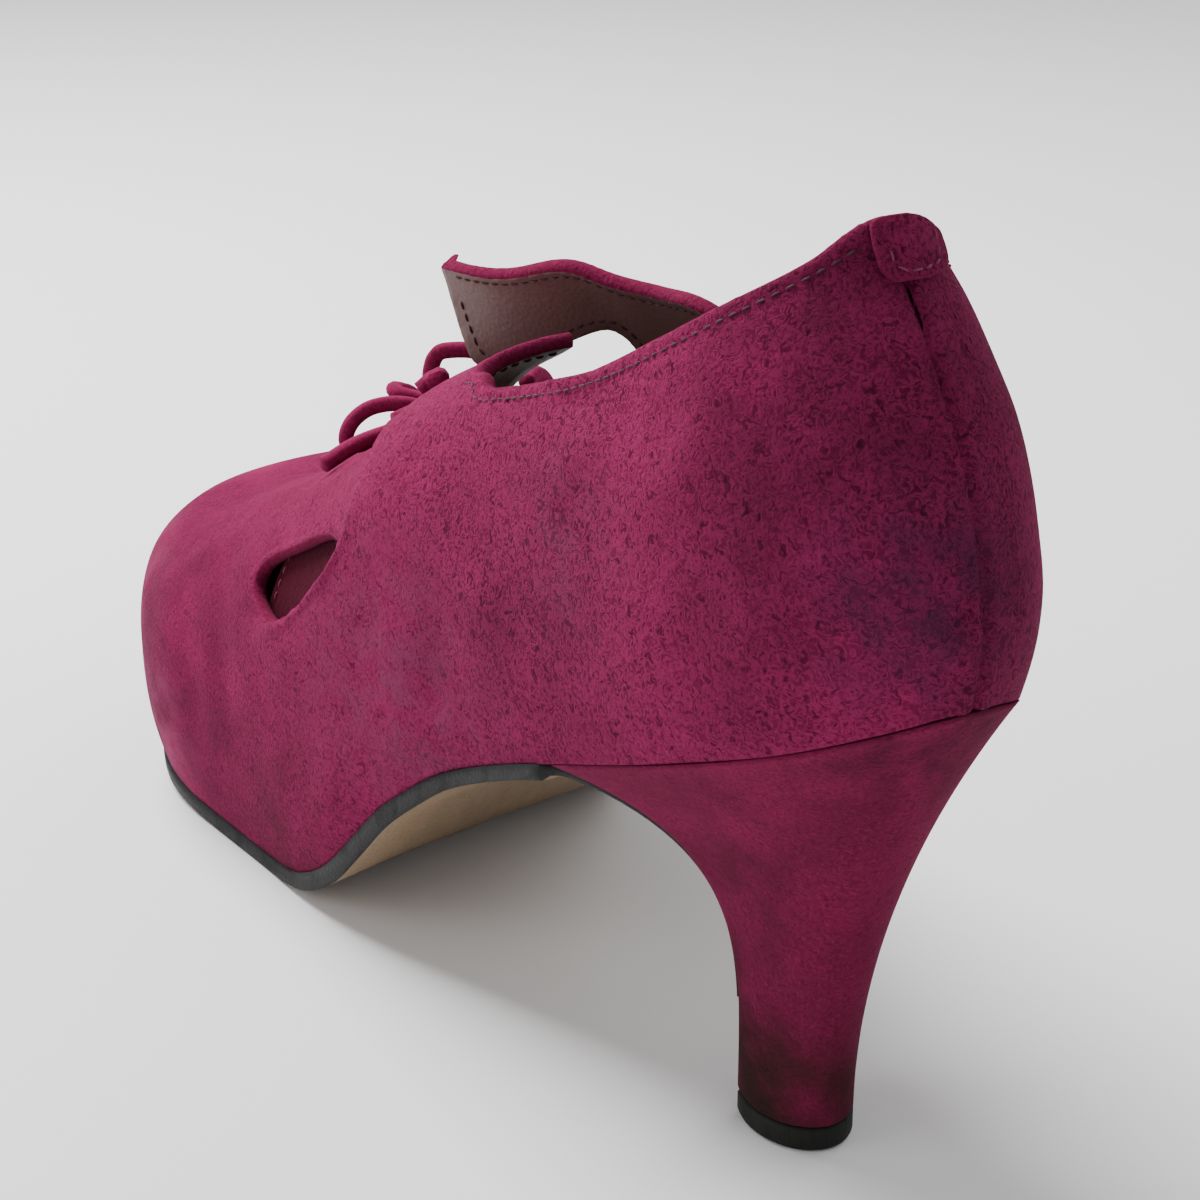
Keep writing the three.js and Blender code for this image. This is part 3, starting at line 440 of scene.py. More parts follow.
def line_distance(line: Array, at: Array) -> Array:
    """Distance of places to an open line."""
    nearest = np.full(at.shape[:-1], np.inf)
    for a, b in zip(line, line[1:]):
        run = b - a
        u = np.clip(((at - a) @ run) / max(run @ run, 1e-9), 0, 1)
        nearest = np.minimum(nearest, np.linalg.norm(at - a - u[..., None] * run, axis=-1))
    return nearest


def new_object(name: str, data: bpy.types.ID) -> bpy.types.Object:
    """A new object in the scene."""
    made = bpy.data.objects.new(name, data)
    bpy.context.scene.collection.objects.link(made)
    return made


def mesh_object(
    name: str, points: Array, faces: Sequence[Sequence[int]], kinds: Sequence[int] | None = None
) -> bpy.types.Object:
    """Makes a smooth shaded mesh object.

    Args:
        name: The piece's name.
        points: Rows of x, y, z in millimetres.
        faces: Rows of point numbers.
        kinds: A material place for each face.

    Returns:
        The object, riding on the one body.
    """
    mesh = bpy.data.meshes.new(name)
    mesh.from_pydata((np.asarray(points) * MM).tolist(), [], [list(map(int, f)) for f in faces])
    if kinds is not None:
        mesh.polygons.foreach_set("material_index", np.asarray(kinds, np.int32))
    mesh.polygons.foreach_set("use_smooth", np.ones(len(mesh.polygons), bool))
    mesh.validate()
    mesh.update()
    made = new_object(name, mesh)
    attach(made, "root")
    return made


def dress(obj: bpy.types.Object, slot: str, *materials: bpy.types.Material) -> bpy.types.Object:
    """Gives a piece its materials."""
    for material in materials:
        obj.data.materials.append(material)
    return obj


# The rolled rim of a wall, by shares of its thickness: in from its outer face, and out past its edge.
RIM_ROLL = ((0.12, 0.13), (0.4, 0.22), (0.72, 0.18))


@dataclass
class Shell:
    """A wall of even thickness that lies on the last."""

    name: str
    keep: Callable[[Array, Array, bool], Array]
    steps_along: int
    steps_round: int
    span: tuple[float, float] = (0, 1)
    top: float = 0
    off: float = 0
    thickness: float = 2.2
    stands: bool = False
    relief: Callable[[Array, Array, Array, Array], Array] | None = None
    snap: float = 0.12
    points: Array = field(default_factory=lambda: np.zeros((0, 3)))
    normals: Array = field(default_factory=lambda: np.zeros((0, 3)))

    def surface(self, x: Array, lean: Array, inner: bool) -> Array:
        """Points of the surface that the wall lies on."""
        return LAST.upper_point(x, lean, inner) if self.stands else LAST.point(x, lean)

    def _side(self, inner: bool) -> tuple[Array, Array, Array, Array, Array]:
        """Cuts one side's grid along the openings.

        Args:
            inner: Whether this is the inner side.

        Returns:
            Points, their places along, leans and distances to the edge, and triangles.
        """
        s = np.linspace(*self.span, self.steps_along + 1)[:, None] * np.ones(self.steps_round + 1)
        t = np.ones((self.steps_along + 1, 1)) * np.linspace(self.top, 1, self.steps_round + 1)
        x, lean = grid_place(s, t, inner)
        d = self.keep(x, lean, inner)
        d = np.where(np.abs(d) < self.snap, 0, d).ravel()
        width = self.steps_round + 1
        corner = (np.arange(self.steps_along)[:, None] * width + np.arange(self.steps_round)).ravel()
        a, b, c, e = corner, corner + width, corner + width + 1, corner + 1
        cells = np.vstack([np.stack([a, b, c], 1), np.stack([a, c, e], 1)])
        above = d[cells] >= 0
        some = (d[cells] > 0).any(1)
        kept = list(cells[above.all(1) & some])
        places = (s.ravel(), t.ravel())
        extra: dict[tuple[int, int], int] = {}
        extra_s: list[float] = []
        extra_t: list[float] = []

        def crossing(m: int, n: int) -> int:
            """The point where the edge from m to n leaves the leather."""
            low, high = (m, n) if d[m] < d[n] else (n, m)
            if (low, high) not in extra:
                u = d[low] / (d[low] - d[high])
                extra[(low, high)] = d.size + len(extra_s)
                extra_s.append(places[0][low] + u * (places[0][high] - places[0][low]))
                extra_t.append(places[1][low] + u * (places[1][high] - places[1][low]))
            return extra[(low, high)]

        for cell in cells[~above.all(1) & some]:
            ring = []
            for m, n in zip(cell, np.roll(cell, -1)):
                if d[m] >= 0:
                    ring.append(m)
                if d[m] * d[n] < 0:
                    ring.append(crossing(m, n))
            kept += [(ring[0], ring[k], ring[k + 1]) for k in range(1, len(ring) - 1)]
        if extra_s:
            more_x, more_lean = grid_place(np.array(extra_s), np.array(extra_t), inner)
            x, lean = np.append(x.ravel(), more_x), np.append(lean.ravel(), more_lean)
            d = np.append(d, np.zeros(len(extra_s)))
        triangles = np.array(kept, int).reshape(-1, 3)
        if inner:
            triangles = triangles[:, ::-1]
        return self.surface(x.ravel(), lean.ravel(), inner), x.ravel(), lean.ravel(), d, triangles

    def build(self) -> bpy.types.Object:
        """Builds the wall with its rolled rim.

        Returns:
            The object, its faces marked as outside, lining or rim.
        """
        sides = [self._side(False), self._side(True)]
        first = len(sides[0][0])
        points, x, lean, d = (np.concatenate([a[k], b[k]]) for a, b in [sides] for k in range(4))
        triangles = np.vstack([sides[0][4], sides[1][4] + first])
        _, keep, same = np.unique(np.round(points * 200), axis=0, return_index=True, return_inverse=True)
        triangles = same.ravel()[triangles]
        points, x, lean, d = points[keep], x[keep], lean[keep], d[keep]
        distinct = (
            (triangles[:, 0] != triangles[:, 1])
            & (triangles[:, 1] != triangles[:, 2])
            & (triangles[:, 2] != triangles[:, 0])
        )
        triangles = triangles[distinct]
        used, triangles = np.unique(triangles, return_inverse=True)
        triangles = triangles.reshape(-1, 3)
        points, x, lean, d = points[used], x[used], lean[used], d[used]
        normals = vertex_normals(points, triangles)
        raised = self.off + (self.relief(points, x, lean, d) if self.relief else 0)
        outer = points + normals * np.reshape(raised, (-1, 1))
        inner = points + normals * (self.off - self.thickness)
        self.points, self.normals = outer, normals
        directed = np.vstack([triangles[:, [0, 1]], triangles[:, [1, 2]], triangles[:, [2, 0]]])
        codes = set(map(tuple, directed.tolist()))
        edges = np.array([e for e in codes if (e[1], e[0]) not in codes])
        away = np.zeros_like(points)
        run = points[edges[:, 1]] - points[edges[:, 0]]
        for end in (0, 1):
            np.add.at(away, edges[:, end], np.cross(run, normals[edges[:, end]]))
        size = np.linalg.norm(away, axis=1, keepdims=True)
        away = np.divide(away, size, out=np.zeros_like(away), where=size > 0)
        rim = np.unique(edges)
        count = len(points)
        place = np.full(count, -1)
        place[rim] = np.arange(len(rim))
        rows = [
            outer[rim] - normals[rim] * self.thickness * part + away[rim] * self.thickness * roll
            for part, roll in RIM_ROLL
        ]
        faces = [*triangles.tolist(), *(triangles[:, ::-1] + count).tolist()]
        kinds = [Face.OUTSIDE.value] * len(triangles) + [Face.LINING.value] * len(triangles)
        starts = [2 * count + k * len(rim) for k in range(len(rows))]
        for m, n in edges.tolist():
            between = [(start + place[m], start + place[n]) for start in starts]
            levels = [(m, n), *between, (m + count, n + count)]
            for (a, b), (e, f) in zip(levels, levels[1:]):
                faces.append([b, a, e, f])
                kinds.append(Face.RIM.value)
        return mesh_object(self.name, np.vstack([outer, inner, *rows]), faces, kinds)


def vertex_normals(points: Array, triangles: Array) -> Array:
    """Unit normals at the points of a triangle mesh."""
    a, b, c = (points[triangles[:, k]] for k in range(3))
    flat = np.cross(b - a, c - a)
    normals = np.zeros_like(points)
    for k in range(3):
        np.add.at(normals, triangles[:, k], flat)
    return normals / np.maximum(np.linalg.norm(normals, axis=1, keepdims=True), 1e-9)


def loft(
    name: str, rings: Sequence[Array], kind: Callable[[int, int], int] | None = None
) -> bpy.types.Object:
    """A closed solid through rings of points.

    Args:
        name: The piece's name.
        rings: The rings, each with the same count of points.
        kind: The material place of the face at a ring and a point.

    Returns:
        The object.
    """
    count = len(rings[0])
    faces, kinds = [], []
    for k in range(len(rings) - 1):
        for i in range(count):
            a, b = k * count + i, k * count + (i + 1) % count
            faces.append([a, b, b + count, a + count])
            kinds.append(kind(k, i) if kind else 0)
    last = (len(rings) - 1) * count
    faces += [list(range(count))[::-1], list(range(last, last + count))]
    kinds += [kinds[0], kinds[-1]]
    return mesh_object(name, np.vstack(rings), faces, kinds)


def tube(name: str, path: Array, across: float, sides: int = 12, groove: float = 0.12) -> bpy.types.Object:
    """A folded cord along a path, with a groove where its edges meet."""
    tangent = np.gradient(path, axis=0)
    tangent /= np.linalg.norm(tangent, axis=1, keepdims=True)
    up = np.array([0.2, 0.3, 0.93])
    rings = []
    for p, t in zip(path, tangent):
        side = np.cross(t, up)
        side /= np.linalg.norm(side)
        up = np.cross(side, t)
        turn = np.linspace(0, 2 * np.pi, sides, endpoint=False)
        radius = across / 2 * (1 - groove * 2 * bell((turn - np.pi / 2) * 2.2, 1))
        rings.append(p + np.outer(radius * np.cos(turn), side) + np.outer(radius * np.sin(turn), up))
    return loft(name, rings[::-1])


# A stitch's length as a share of its pitch, and its rings: share along, radius and height in millimetres.
STITCH_SHARE = 0.74
STITCH_RINGS = ((0, 0.07, -0.1), (0.2, 0.16, 0.06), (0.5, 0.19, 0.12), (0.8, 0.16, 0.06), (1, 0.07, -0.1))


def stitches(name: str, rows: Sequence[tuple[Array, Array]], pitch: float = 2.1) -> bpy.types.Object:
    """Sewn threads along rows on a surface.

    Args:
        name: The piece's name.
        rows: Pairs of points and normals along each row.
        pitch: Distance from stitch to stitch.

    Returns:
        One object with every thread.
    """
    points, faces = [], []
    for path, normals in rows:
        reach = np.append(0, np.cumsum(np.linalg.norm(np.diff(path, axis=0), axis=1)))
        for start in np.arange(pitch / 2, reach[-1] - pitch, pitch):
            foot, tip = (
                np.array([np.interp(start + step, reach, path[:, k]) for k in range(3)])
                for step in (0, pitch * STITCH_SHARE)
            )
            out = np.array([np.interp(start, reach, normals[:, k]) for k in range(3)])
            run = tip - foot
            side = np.cross(run / max(np.linalg.norm(run), 1e-6), out)
            first = len(points)
            for part, size, lift in STITCH_RINGS:
                middle = foot + run * part + out * lift
                for turn in np.linspace(0, 2 * math.pi, 6, endpoint=False):
                    points.append(middle + side * math.cos(turn) * size + out * math.sin(turn) * size)
            for k in range(4):
                for i in range(6):
                    a, b = first + 6 * k + i, first + 6 * k + (i + 1) % 6
                    faces.append([a, b, b + 6, a + 6])
            faces += [[first + i for i in range(5, -1, -1)], [first + 24 + i for i in range(6)]]
    return mesh_object(name, np.array(points), faces)


class Nodes:
    """A small helper that adds and links shader nodes in one tree."""

    def __init__(self, tree: bpy.types.NodeTree) -> None:
        """Keeps the tree."""
        self.tree = tree

    def feed(self, node: bpy.types.Node, inputs: dict) -> bpy.types.Node:
        """Sets a node's inputs to values, or links them to output sockets."""
        for key, value in inputs.items():
            if isinstance(value, bpy.types.NodeSocket):
                self.tree.links.new(value, node.inputs[key])
            else:
                node.inputs[key].default_value = value
        return node

    def add(self, kind: str, inputs: dict | None = None, **settings: object) -> bpy.types.Node:
        """Adds a node.

        Args:
            kind: The node's type.
            inputs: Values or output sockets by input name or number.
            settings: The node's own settings.

        Returns:
            The node.
        """
        node = self.tree.nodes.new(kind)
        for name, value in settings.items():
            setattr(node, name, value)
        return self.feed(node, inputs or {})

    def mix(self, factor: object, a: object, b: object, blend: str = "MIX") -> bpy.types.NodeSocket:
        """Mixes two colours."""
        inputs = {0: factor, 6: a, 7: b}
        return self.add("ShaderNodeMix", inputs, data_type="RGBA", blend_type=blend).outputs[2]

    def noise(self, place: object, scale: object, detail: float, **more: float) -> bpy.types.NodeSocket:
        """Noise at a place, as a value about a half."""
        inputs = {"Vector": place, "Scale": scale, "Detail": detail}
        inputs.update({name.capitalize(): value for name, value in more.items()})
        return self.add("ShaderNodeTexNoise", inputs).outputs[0]

    def remap(
        self, value: object, start: float, end: float, low: float = 0.0, high: float = 1.0
    ) -> bpy.types.NodeSocket:
        """Maps a value's range from start to end to one from low to high."""
        inputs = {0: value, 1: start, 2: end, 3: low, 4: high}
        return self.add("ShaderNodeMapRange", inputs).outputs[0]

    def math(self, operation: str, a: object, b: object = 0.0) -> bpy.types.NodeSocket:
        """Does one sum on two values."""
        return self.add("ShaderNodeMath", {0: a, 1: b}, operation=operation).outputs[0]


def group(name: str, inputs: Sequence[tuple[str, str, object]], outputs: Sequence[tuple[str, str]]) -> tuple:
    """Starts a shader node group with named sockets.

    Args:
        name: The group's name.
        inputs: Name, socket type and starting value of each input.
        outputs: Name and socket type of each output.

    Returns:
        The tree, its helper, its input node and its output node.
    """
    tree = bpy.data.node_groups.new(name, "ShaderNodeTree")
    for label, kind, value in inputs:
        socket = tree.interface.new_socket(label, in_out="INPUT", socket_type=kind)
        socket.default_value = value
    for label, kind in outputs:
        tree.interface.new_socket(label, in_out="OUTPUT", socket_type=kind)
    return tree, Nodes(tree), tree.nodes.new("NodeGroupInput"), tree.nodes.new("NodeGroupOutput")


FLOAT, COLOUR, VECTOR = "NodeSocketFloat", "NodeSocketColor", "NodeSocketVector"


def nap_group() -> bpy.types.NodeTree:
    """Suede nap: brushed light and dark patches, fine grain and loose fibres."""
    tree, make, given, out = group(
        "suede_nap",
        [
            ("Tone", COLOUR, (0.3, 0.03, 0.1, 1)),
            ("Shade", COLOUR, (0.1, 0.01, 0.04, 1)),
            ("Patchy", FLOAT, 0.5),
            ("Fuzz", FLOAT, 0.6),
        ],
        [("Color", COLOUR), ("Height", FLOAT)],
    )
    place = make.add("ShaderNodeNewGeometry").outputs["Position"]
    swept = make.add("ShaderNodeMapping", {"Vector": place, "Scale": (0.7, 1.0, 0.55)}).outputs[0]
    broad = make.noise(swept, 30.0, 3.0, distortion=0.6)
    brushed = make.noise(swept, 170.0, 5.0, roughness=0.65)
    curl = make.noise(place, 820.0, 4.0, distortion=1.1)
    grain = make.noise(place, 1700.0, 2.5)
    patches = make.remap(broad, 0.36, 0.66)
    strokes = make.remap(brushed, 0.3, 0.7)
    level = make.math("ADD", make.math("MULTIPLY", patches, 0.6), make.math("MULTIPLY", strokes, 0.4))
    shaded = make.math("MULTIPLY", level, given.outputs["Patchy"])
    tone = make.mix(shaded, given.outputs["Tone"], given.outputs["Shade"])
    along = make.add("ShaderNodeSeparateXYZ", {0: place}).outputs["X"]
    smoother = make.remap(along, 0.05, 0.13, 1.0, 0.4)
    fuzz = make.math("MULTIPLY", given.outputs["Fuzz"], smoother)
    ridge = make.math("ABSOLUTE", make.math("SUBTRACT", curl, 0.5))
    strand = make.math("MULTIPLY", make.remap(ridge, 0.12, 0.0), fuzz)
    bright = make.mix(1.0, given.outputs["Tone"], (1.7, 2.3, 1.9, 1), "MULTIPLY")
    tone = make.mix(make.math("MULTIPLY", strand, 0.6), tone, bright)
    pits = make.remap(curl, 0.42, 0.26)
    tone = make.mix(make.math("MULTIPLY", pits, fuzz), tone, given.outputs["Shade"])
    pale = make.remap(grain, 0.56, 0.72, high=0.35)
    tone = make.mix(pale, tone, bright)
    dots = make.remap(grain, 0.45, 0.3, high=0.45)
    tone = make.mix(dots, tone, given.outputs["Shade"])
    fluff = make.math("MULTIPLY", make.math("ADD", strand, curl), 0.6)
    height = make.math("ADD", make.math("MULTIPLY", grain, 0.5), make.math("ADD", fluff, brushed))
    tree.links.new(tone, out.inputs["Color"])
    tree.links.new(height, out.inputs["Height"])
    return tree


def wear_and_light_group() -> bpy.types.NodeTree:
    """A soft edged patch of colour about a place, for real wear and staining and for painted highlights and
    shade.
    """
    tree, make, given, out = group(
        "wear_and_painted_light_patch",
        [("Color", COLOUR, (0, 0, 0, 1)), ("WearAndLightPatch", COLOUR, (0, 0, 0, 1)), ("Centre", VECTOR, (0, 0, 0)),
         ("Reach", FLOAT, 0.02), ("Strength", FLOAT, 0.5), ("Ragged", FLOAT, 90.0)],
        [("Color", COLOUR)],
    )
    place = make.add("ShaderNodeNewGeometry").outputs["Position"]
    ends = {0: place, 1: given.outputs["Centre"]}
    away = make.add("ShaderNodeVectorMath", ends, operation="DISTANCE").outputs["Value"]
    near = make.math("SUBTRACT", 1.0, make.math("DIVIDE", away, given.outputs["Reach"]))
    noise = make.noise(place, given.outputs["Ragged"], 4.0)
    ragged = make.remap(noise, 0.35, 0.65)
    mask = make.math("MULTIPLY", make.math("MAXIMUM", near, 0.0), ragged)
    mask = make.math("MULTIPLY", mask, given.outputs["Strength"])
    tree.links.new(make.mix(mask, given.outputs["Color"], given.outputs["WearAndLightPatch"]), out.inputs["Color"])
    return tree


def grain_group() -> bpy.types.NodeTree:
    """Smooth leather: pores, faint scratches and a cloudy tone."""
    tree, make, given, out = group(
        "leather_grain",
        [
            ("Tone", COLOUR, (0.1, 0.06, 0.04, 1)),
            ("Shade", COLOUR, (0.05, 0.03, 0.02, 1)),
            ("Size", FLOAT, 900.0),
        ],
        [("Color", COLOUR), ("Height", FLOAT), ("Wear", FLOAT)],
    )
    place = make.add("ShaderNodeNewGeometry").outputs["Position"]
    pores = make.add("ShaderNodeTexVoronoi", {"Vector": place, "Scale": given.outputs["Size"]}).outputs[0]
    cloud = make.noise(place, 60.0, 4.0)
    along = make.add("ShaderNodeMapping", {"Vector": place, "Scale": (1.0, 14.0, 1.0)}).outputs[0]
    scratch = make.noise(along, 160.0, 3.0)
    wear = make.remap(scratch, 0.5, 0.72)
    tree.links.new(make.mix(cloud, given.outputs["Tone"], given.outputs["Shade"]), out.inputs["Color"])
    tree.links.new(pores, out.inputs["Height"])
    tree.links.new(wear, out.inputs["Wear"])
    return tree


@dataclass(frozen=True)
class WearAndLightPatch:
    """A patch of colour about a place, for real wear and for painted highlights and shade. Place and reach are
    in metres.
    """

    colour: Colour
    centre: tuple[float, float, float]
    reach: float
    strength: float
    ragged: float = 90.0


# Patches on the upper: real scuffs on the toe sides and quarter, a painted highlight on the toe top, painted
# shade low on the toe's outer side and on the back, and two darker patches on the outer side.
SCUFFS_AND_PAINTED_LIGHT = (
    WearAndLightPatch((0.42, 0.13, 0.22), (0.168, 0.036, 0.022), 0.03, 0.55, 150.0),
    WearAndLightPatch((0.4, 0.1, 0.2), (0.15, 0.037, 0.014), 0.022, 0.45, 190.0),
    # painted highlight: the toe top made lighter in the suede's own hue, where light falls from above
    WearAndLightPatch((0.23, 0.013, 0.07), (0.158, 0.012, 0.054), 0.05, 0.8, 60.0),
    # painted shade: the low outer side of the toe darkened in the suede's own hue, away from the light above
    WearAndLightPatch((0.045, 0.005, 0.018), (0.135, 0.042, 0.026), 0.046, 0.75, 70.0),
    WearAndLightPatch((0.17, 0.06, 0.11), (0.062, 0.034, 0.052), 0.034, 0.32, 200.0),
    WearAndLightPatch((0.15, 0.05, 0.09), (0.02, 0.027, 0.088), 0.02, 0.25, 220.0),
    # painted shade: the back of the heel curve up to the collar darkened, where it faces away from the light
    WearAndLightPatch((0.035, 0.014, 0.04), (-0.033, 0.008, 0.096), 0.02, 0.8, 160.0),
    WearAndLightPatch((0.03, 0.004, 0.012), (-0.028, 0.012, 0.1), 0.04, 0.8, 50.0),
    WearAndLightPatch((0.03, 0.004, 0.012), (-0.014, 0.016, 0.128), 0.03, 0.6, 90.0),
    # darker patches midway along the outer side and low on it by the sole
    WearAndLightPatch((0.05, 0.006, 0.02), (0.036, 0.034, 0.07), 0.036, 0.5, 60.0),
    WearAndLightPatch((0.04, 0.01, 0.012), (0.098, 0.036, 0.008), 0.03, 0.6, 140.0),
)
# Patches on the heel: real staining and a small scuff towards its tip, a darker patch halfway up its outer
# side, and painted shade on its back below the seat.
HEEL_STAINS_AND_PAINTED_SHADE = (
    WearAndLightPatch((0.028, 0.012, 0.01), (0.0, 0.003, -0.004), 0.034, 2.6, 60.0),
    WearAndLightPatch((0.022, 0.012, 0.011), (0.0, 0.003, -0.002), 0.02, 4.0, 25.0),
    # darker patch halfway up the heel's outer side
    WearAndLightPatch((0.045, 0.006, 0.016), (0.0, 0.012, 0.045), 0.034, 0.6, 110.0),
    # painted shade: the heel's back below the seat darkened, under the shoe's back
    WearAndLightPatch((0.03, 0.005, 0.012), (-0.028, 0.004, 0.076), 0.024, 0.9, 160.0),
    WearAndLightPatch((0.025, 0.006, 0.01), (0.008, 0.01, 0.018), 0.016, 0.8, 240.0),
)


@dataclass(frozen=True)
class SuedeFinish:
    """Napped suede with its own tone, and patches of real wear and of painted highlights and shade."""

    name: str
    tone: Colour
    shade: Colour
    patchy: float = 0.75
    fuzz: float = 1.0
    bump: float = 0.5
    sheen: float = 0.05
    stains: tuple[WearAndLightPatch, ...] = ()

    def material(self, nap: bpy.types.NodeTree, stain: bpy.types.NodeTree) -> bpy.types.Material:
        """Makes the material.

        Args:
            nap: The nap group.
            stain: The group for patches of real wear and of painted highlights and shade.

        Returns:
            The material.
        """
        made, make, shader = blank(self.name)
        tones = {"Tone": (*self.tone, 1), "Shade": (*self.shade, 1)}
        node = make.add("ShaderNodeGroup", {**tones, "Patchy": self.patchy, "Fuzz": self.fuzz}, node_tree=nap)
        colour = node.outputs["Color"]
        for patch in self.stains:
            names = ("centre", "reach", "strength", "ragged")
            patch_inputs = {name.capitalize(): getattr(patch, name) for name in names}
            patch_inputs.update({"Color": colour, "WearAndLightPatch": (*patch.colour, 1)})
            colour = make.add("ShaderNodeGroup", patch_inputs, node_tree=stain).outputs["Color"]
        relief = {"Height": node.outputs["Height"], "Strength": self.bump, "Distance": 0.0006}
        inputs = {
            "Base Color": colour,
            "Normal": make.add("ShaderNodeBump", relief).outputs[0],
            "Roughness": 0.95,
            "Specular IOR Level": 0.05,
            "Sheen Weight": self.sheen,
            "Sheen Roughness": 0.45,
            "Sheen Tint": (0.9, 0.25, 0.45, 1),
        }
        make.feed(shader, inputs)
        return made


@dataclass(frozen=True)
class LeatherFinish:
    """Smooth leather or rubber."""

    name: str
    tone: Colour
    shade: Colour
    roughness: float
    size: float = 900.0
    bump: float = 0.2
    scuffed: float = 0.15
    gloss: float = 0.5

    def material(self, grain: bpy.types.NodeTree) -> bpy.types.Material:
        """Makes the material.

        Args:
            grain: The leather grain group.

        Returns:
            The material.
        """
        made, make, shader = blank(self.name)
        inputs = {"Tone": (*self.tone, 1), "Shade": (*self.shade, 1), "Size": self.size}
        node = make.add("ShaderNodeGroup", inputs, node_tree=grain)
        wear = {0: node.outputs["Wear"], 1: self.scuffed, 2: self.roughness}
        relief = {"Height": node.outputs["Height"], "Strength": self.bump, "Distance": 0.0003}
        inputs = {
            "Base Color": node.outputs["Color"],
            "Specular IOR Level": self.gloss,
            "Roughness": make.add("ShaderNodeMath", wear, operation="MULTIPLY_ADD").outputs[0],
            "Normal": make.add("ShaderNodeBump", relief).outputs[0],
        }
        make.feed(shader, inputs)
        return made


def blank(name: str) -> tuple[bpy.types.Material, Nodes, bpy.types.Node]:
    """A new material with its helper and its shader."""
    made = bpy.data.materials.new(name)
    made.use_nodes = True
    return made, Nodes(made.node_tree), made.node_tree.nodes["Principled BSDF"]


class Wardrobe:
    """Every finish of the shoe."""

    def __init__(self) -> None:
        """Builds the groups and the materials."""
        nap, stain, grain = nap_group(), wear_and_light_group(), grain_group()

        def suede(*values: object, **more: object) -> bpy.types.Material:
            """A suede of these values."""
            return SuedeFinish(*values, **more).material(nap, stain)

        def leather(*values: object, **more: object) -> bpy.types.Material:
            """A smooth leather or rubber of these values."""
            return LeatherFinish(*values, **more).material(grain)

        tone, shade = (0.175, 0.0095, 0.052), (0.045, 0.0025, 0.0135)
        self.suede = suede("suede", tone, shade, stains=SCUFFS_AND_PAINTED_LIGHT)
        heel_tone, heel_shade = (0.155, 0.0095, 0.044), (0.06, 0.0035, 0.018)
        self.heel = suede("heel_suede", heel_tone, heel_shade, 0.6, 0.3, stains=HEEL_STAINS_AND_PAINTED_SHADE)
        self.binding = suede("binding", (0.15, 0.009, 0.042), (0.055, 0.003, 0.016), 0.6, 0.3)
        # painted shade: a darker copy of the upper's suede for the side flap and tongue, which lie in shade
        # inside the cut-outs
        self.flap = suede("painted_shade_flap_suede", (0.05, 0.003, 0.011), (0.022, 0.0015, 0.005), 0.6, 0.2)
        self.cord = suede("cord_suede", (0.2, 0.012, 0.058), (0.08, 0.005, 0.024), 0.6, 0.4, 0.3)
        self.lining = leather("lining", (0.135, 0.062, 0.053), (0.085, 0.038, 0.033), 0.55, 1300.0)
        self.thread = leather("thread", (0.06, 0.006, 0.018), (0.03, 0.004, 0.01), 0.7)
        self.pale_thread = leather("pale_thread", (0.2, 0.02, 0.07), (0.13, 0.014, 0.04), 0.7)
        edge, dark_edge = (0.012, 0.0125, 0.012), (0.007, 0.007, 0.007)
        self.edge = leather("sole_edge", edge, dark_edge, 0.6, 1500.0, gloss=0.2)
        self.tread = leather("sole_leather", (0.23, 0.15, 0.08), (0.13, 0.085, 0.045), 0.5, 1200.0, 0.3)
        rubber, dark_rubber = (0.011, 0.011, 0.009), (0.007, 0.007, 0.006)
        self.rubber = leather("tip_rubber", rubber, dark_rubber, 0.7, 1500.0, gloss=0.25)
        self.sock = leather("sock_leather", (0.2, 0.1, 0.08), (0.12, 0.06, 0.05), 0.55)


@dataclass(frozen=True)
class Crease:
    """A soft trough between two places of share along and lean. Depth and width are in millimetres."""

    start: tuple[float, float]
    end: tuple[float, float]
    depth: float
    width: float


CREASES = (
    Crease((0.695, 82), (0.735, 52), 0.5, 4.5),
    Crease((0.735, 88), (0.765, 60), 0.35, 4.0),
    Crease((0.4, 86), (0.5, 66), 0.55, 6.0),
    Crease((0.36, 74), (0.44, 52), 0.4, 5.0),
    Crease((0.12, 84), (0.24, 70), 0.45, 5.0),
    Crease((0.17, 62), (0.27, 52), 0.4, 4.5),
    Crease((0.28, 100), (0.4, 92), 0.45, 5.5),
    Crease((0.56, 92), (0.62, 78), 0.35, 4.0),
    Crease((0.4, -86), (0.5, -66), 0.5, 6.0),
    Crease((0.12, -84), (0.26, -68), 0.45, 5.0),
    Crease((0.7, -80), (0.74, -50), 0.45, 4.5),
    Crease((0.46, -40), (0.54, -30), 0.35, 4.0),
    Crease((0.74, -20), (0.76, 20), 0.3, 5.0),
)


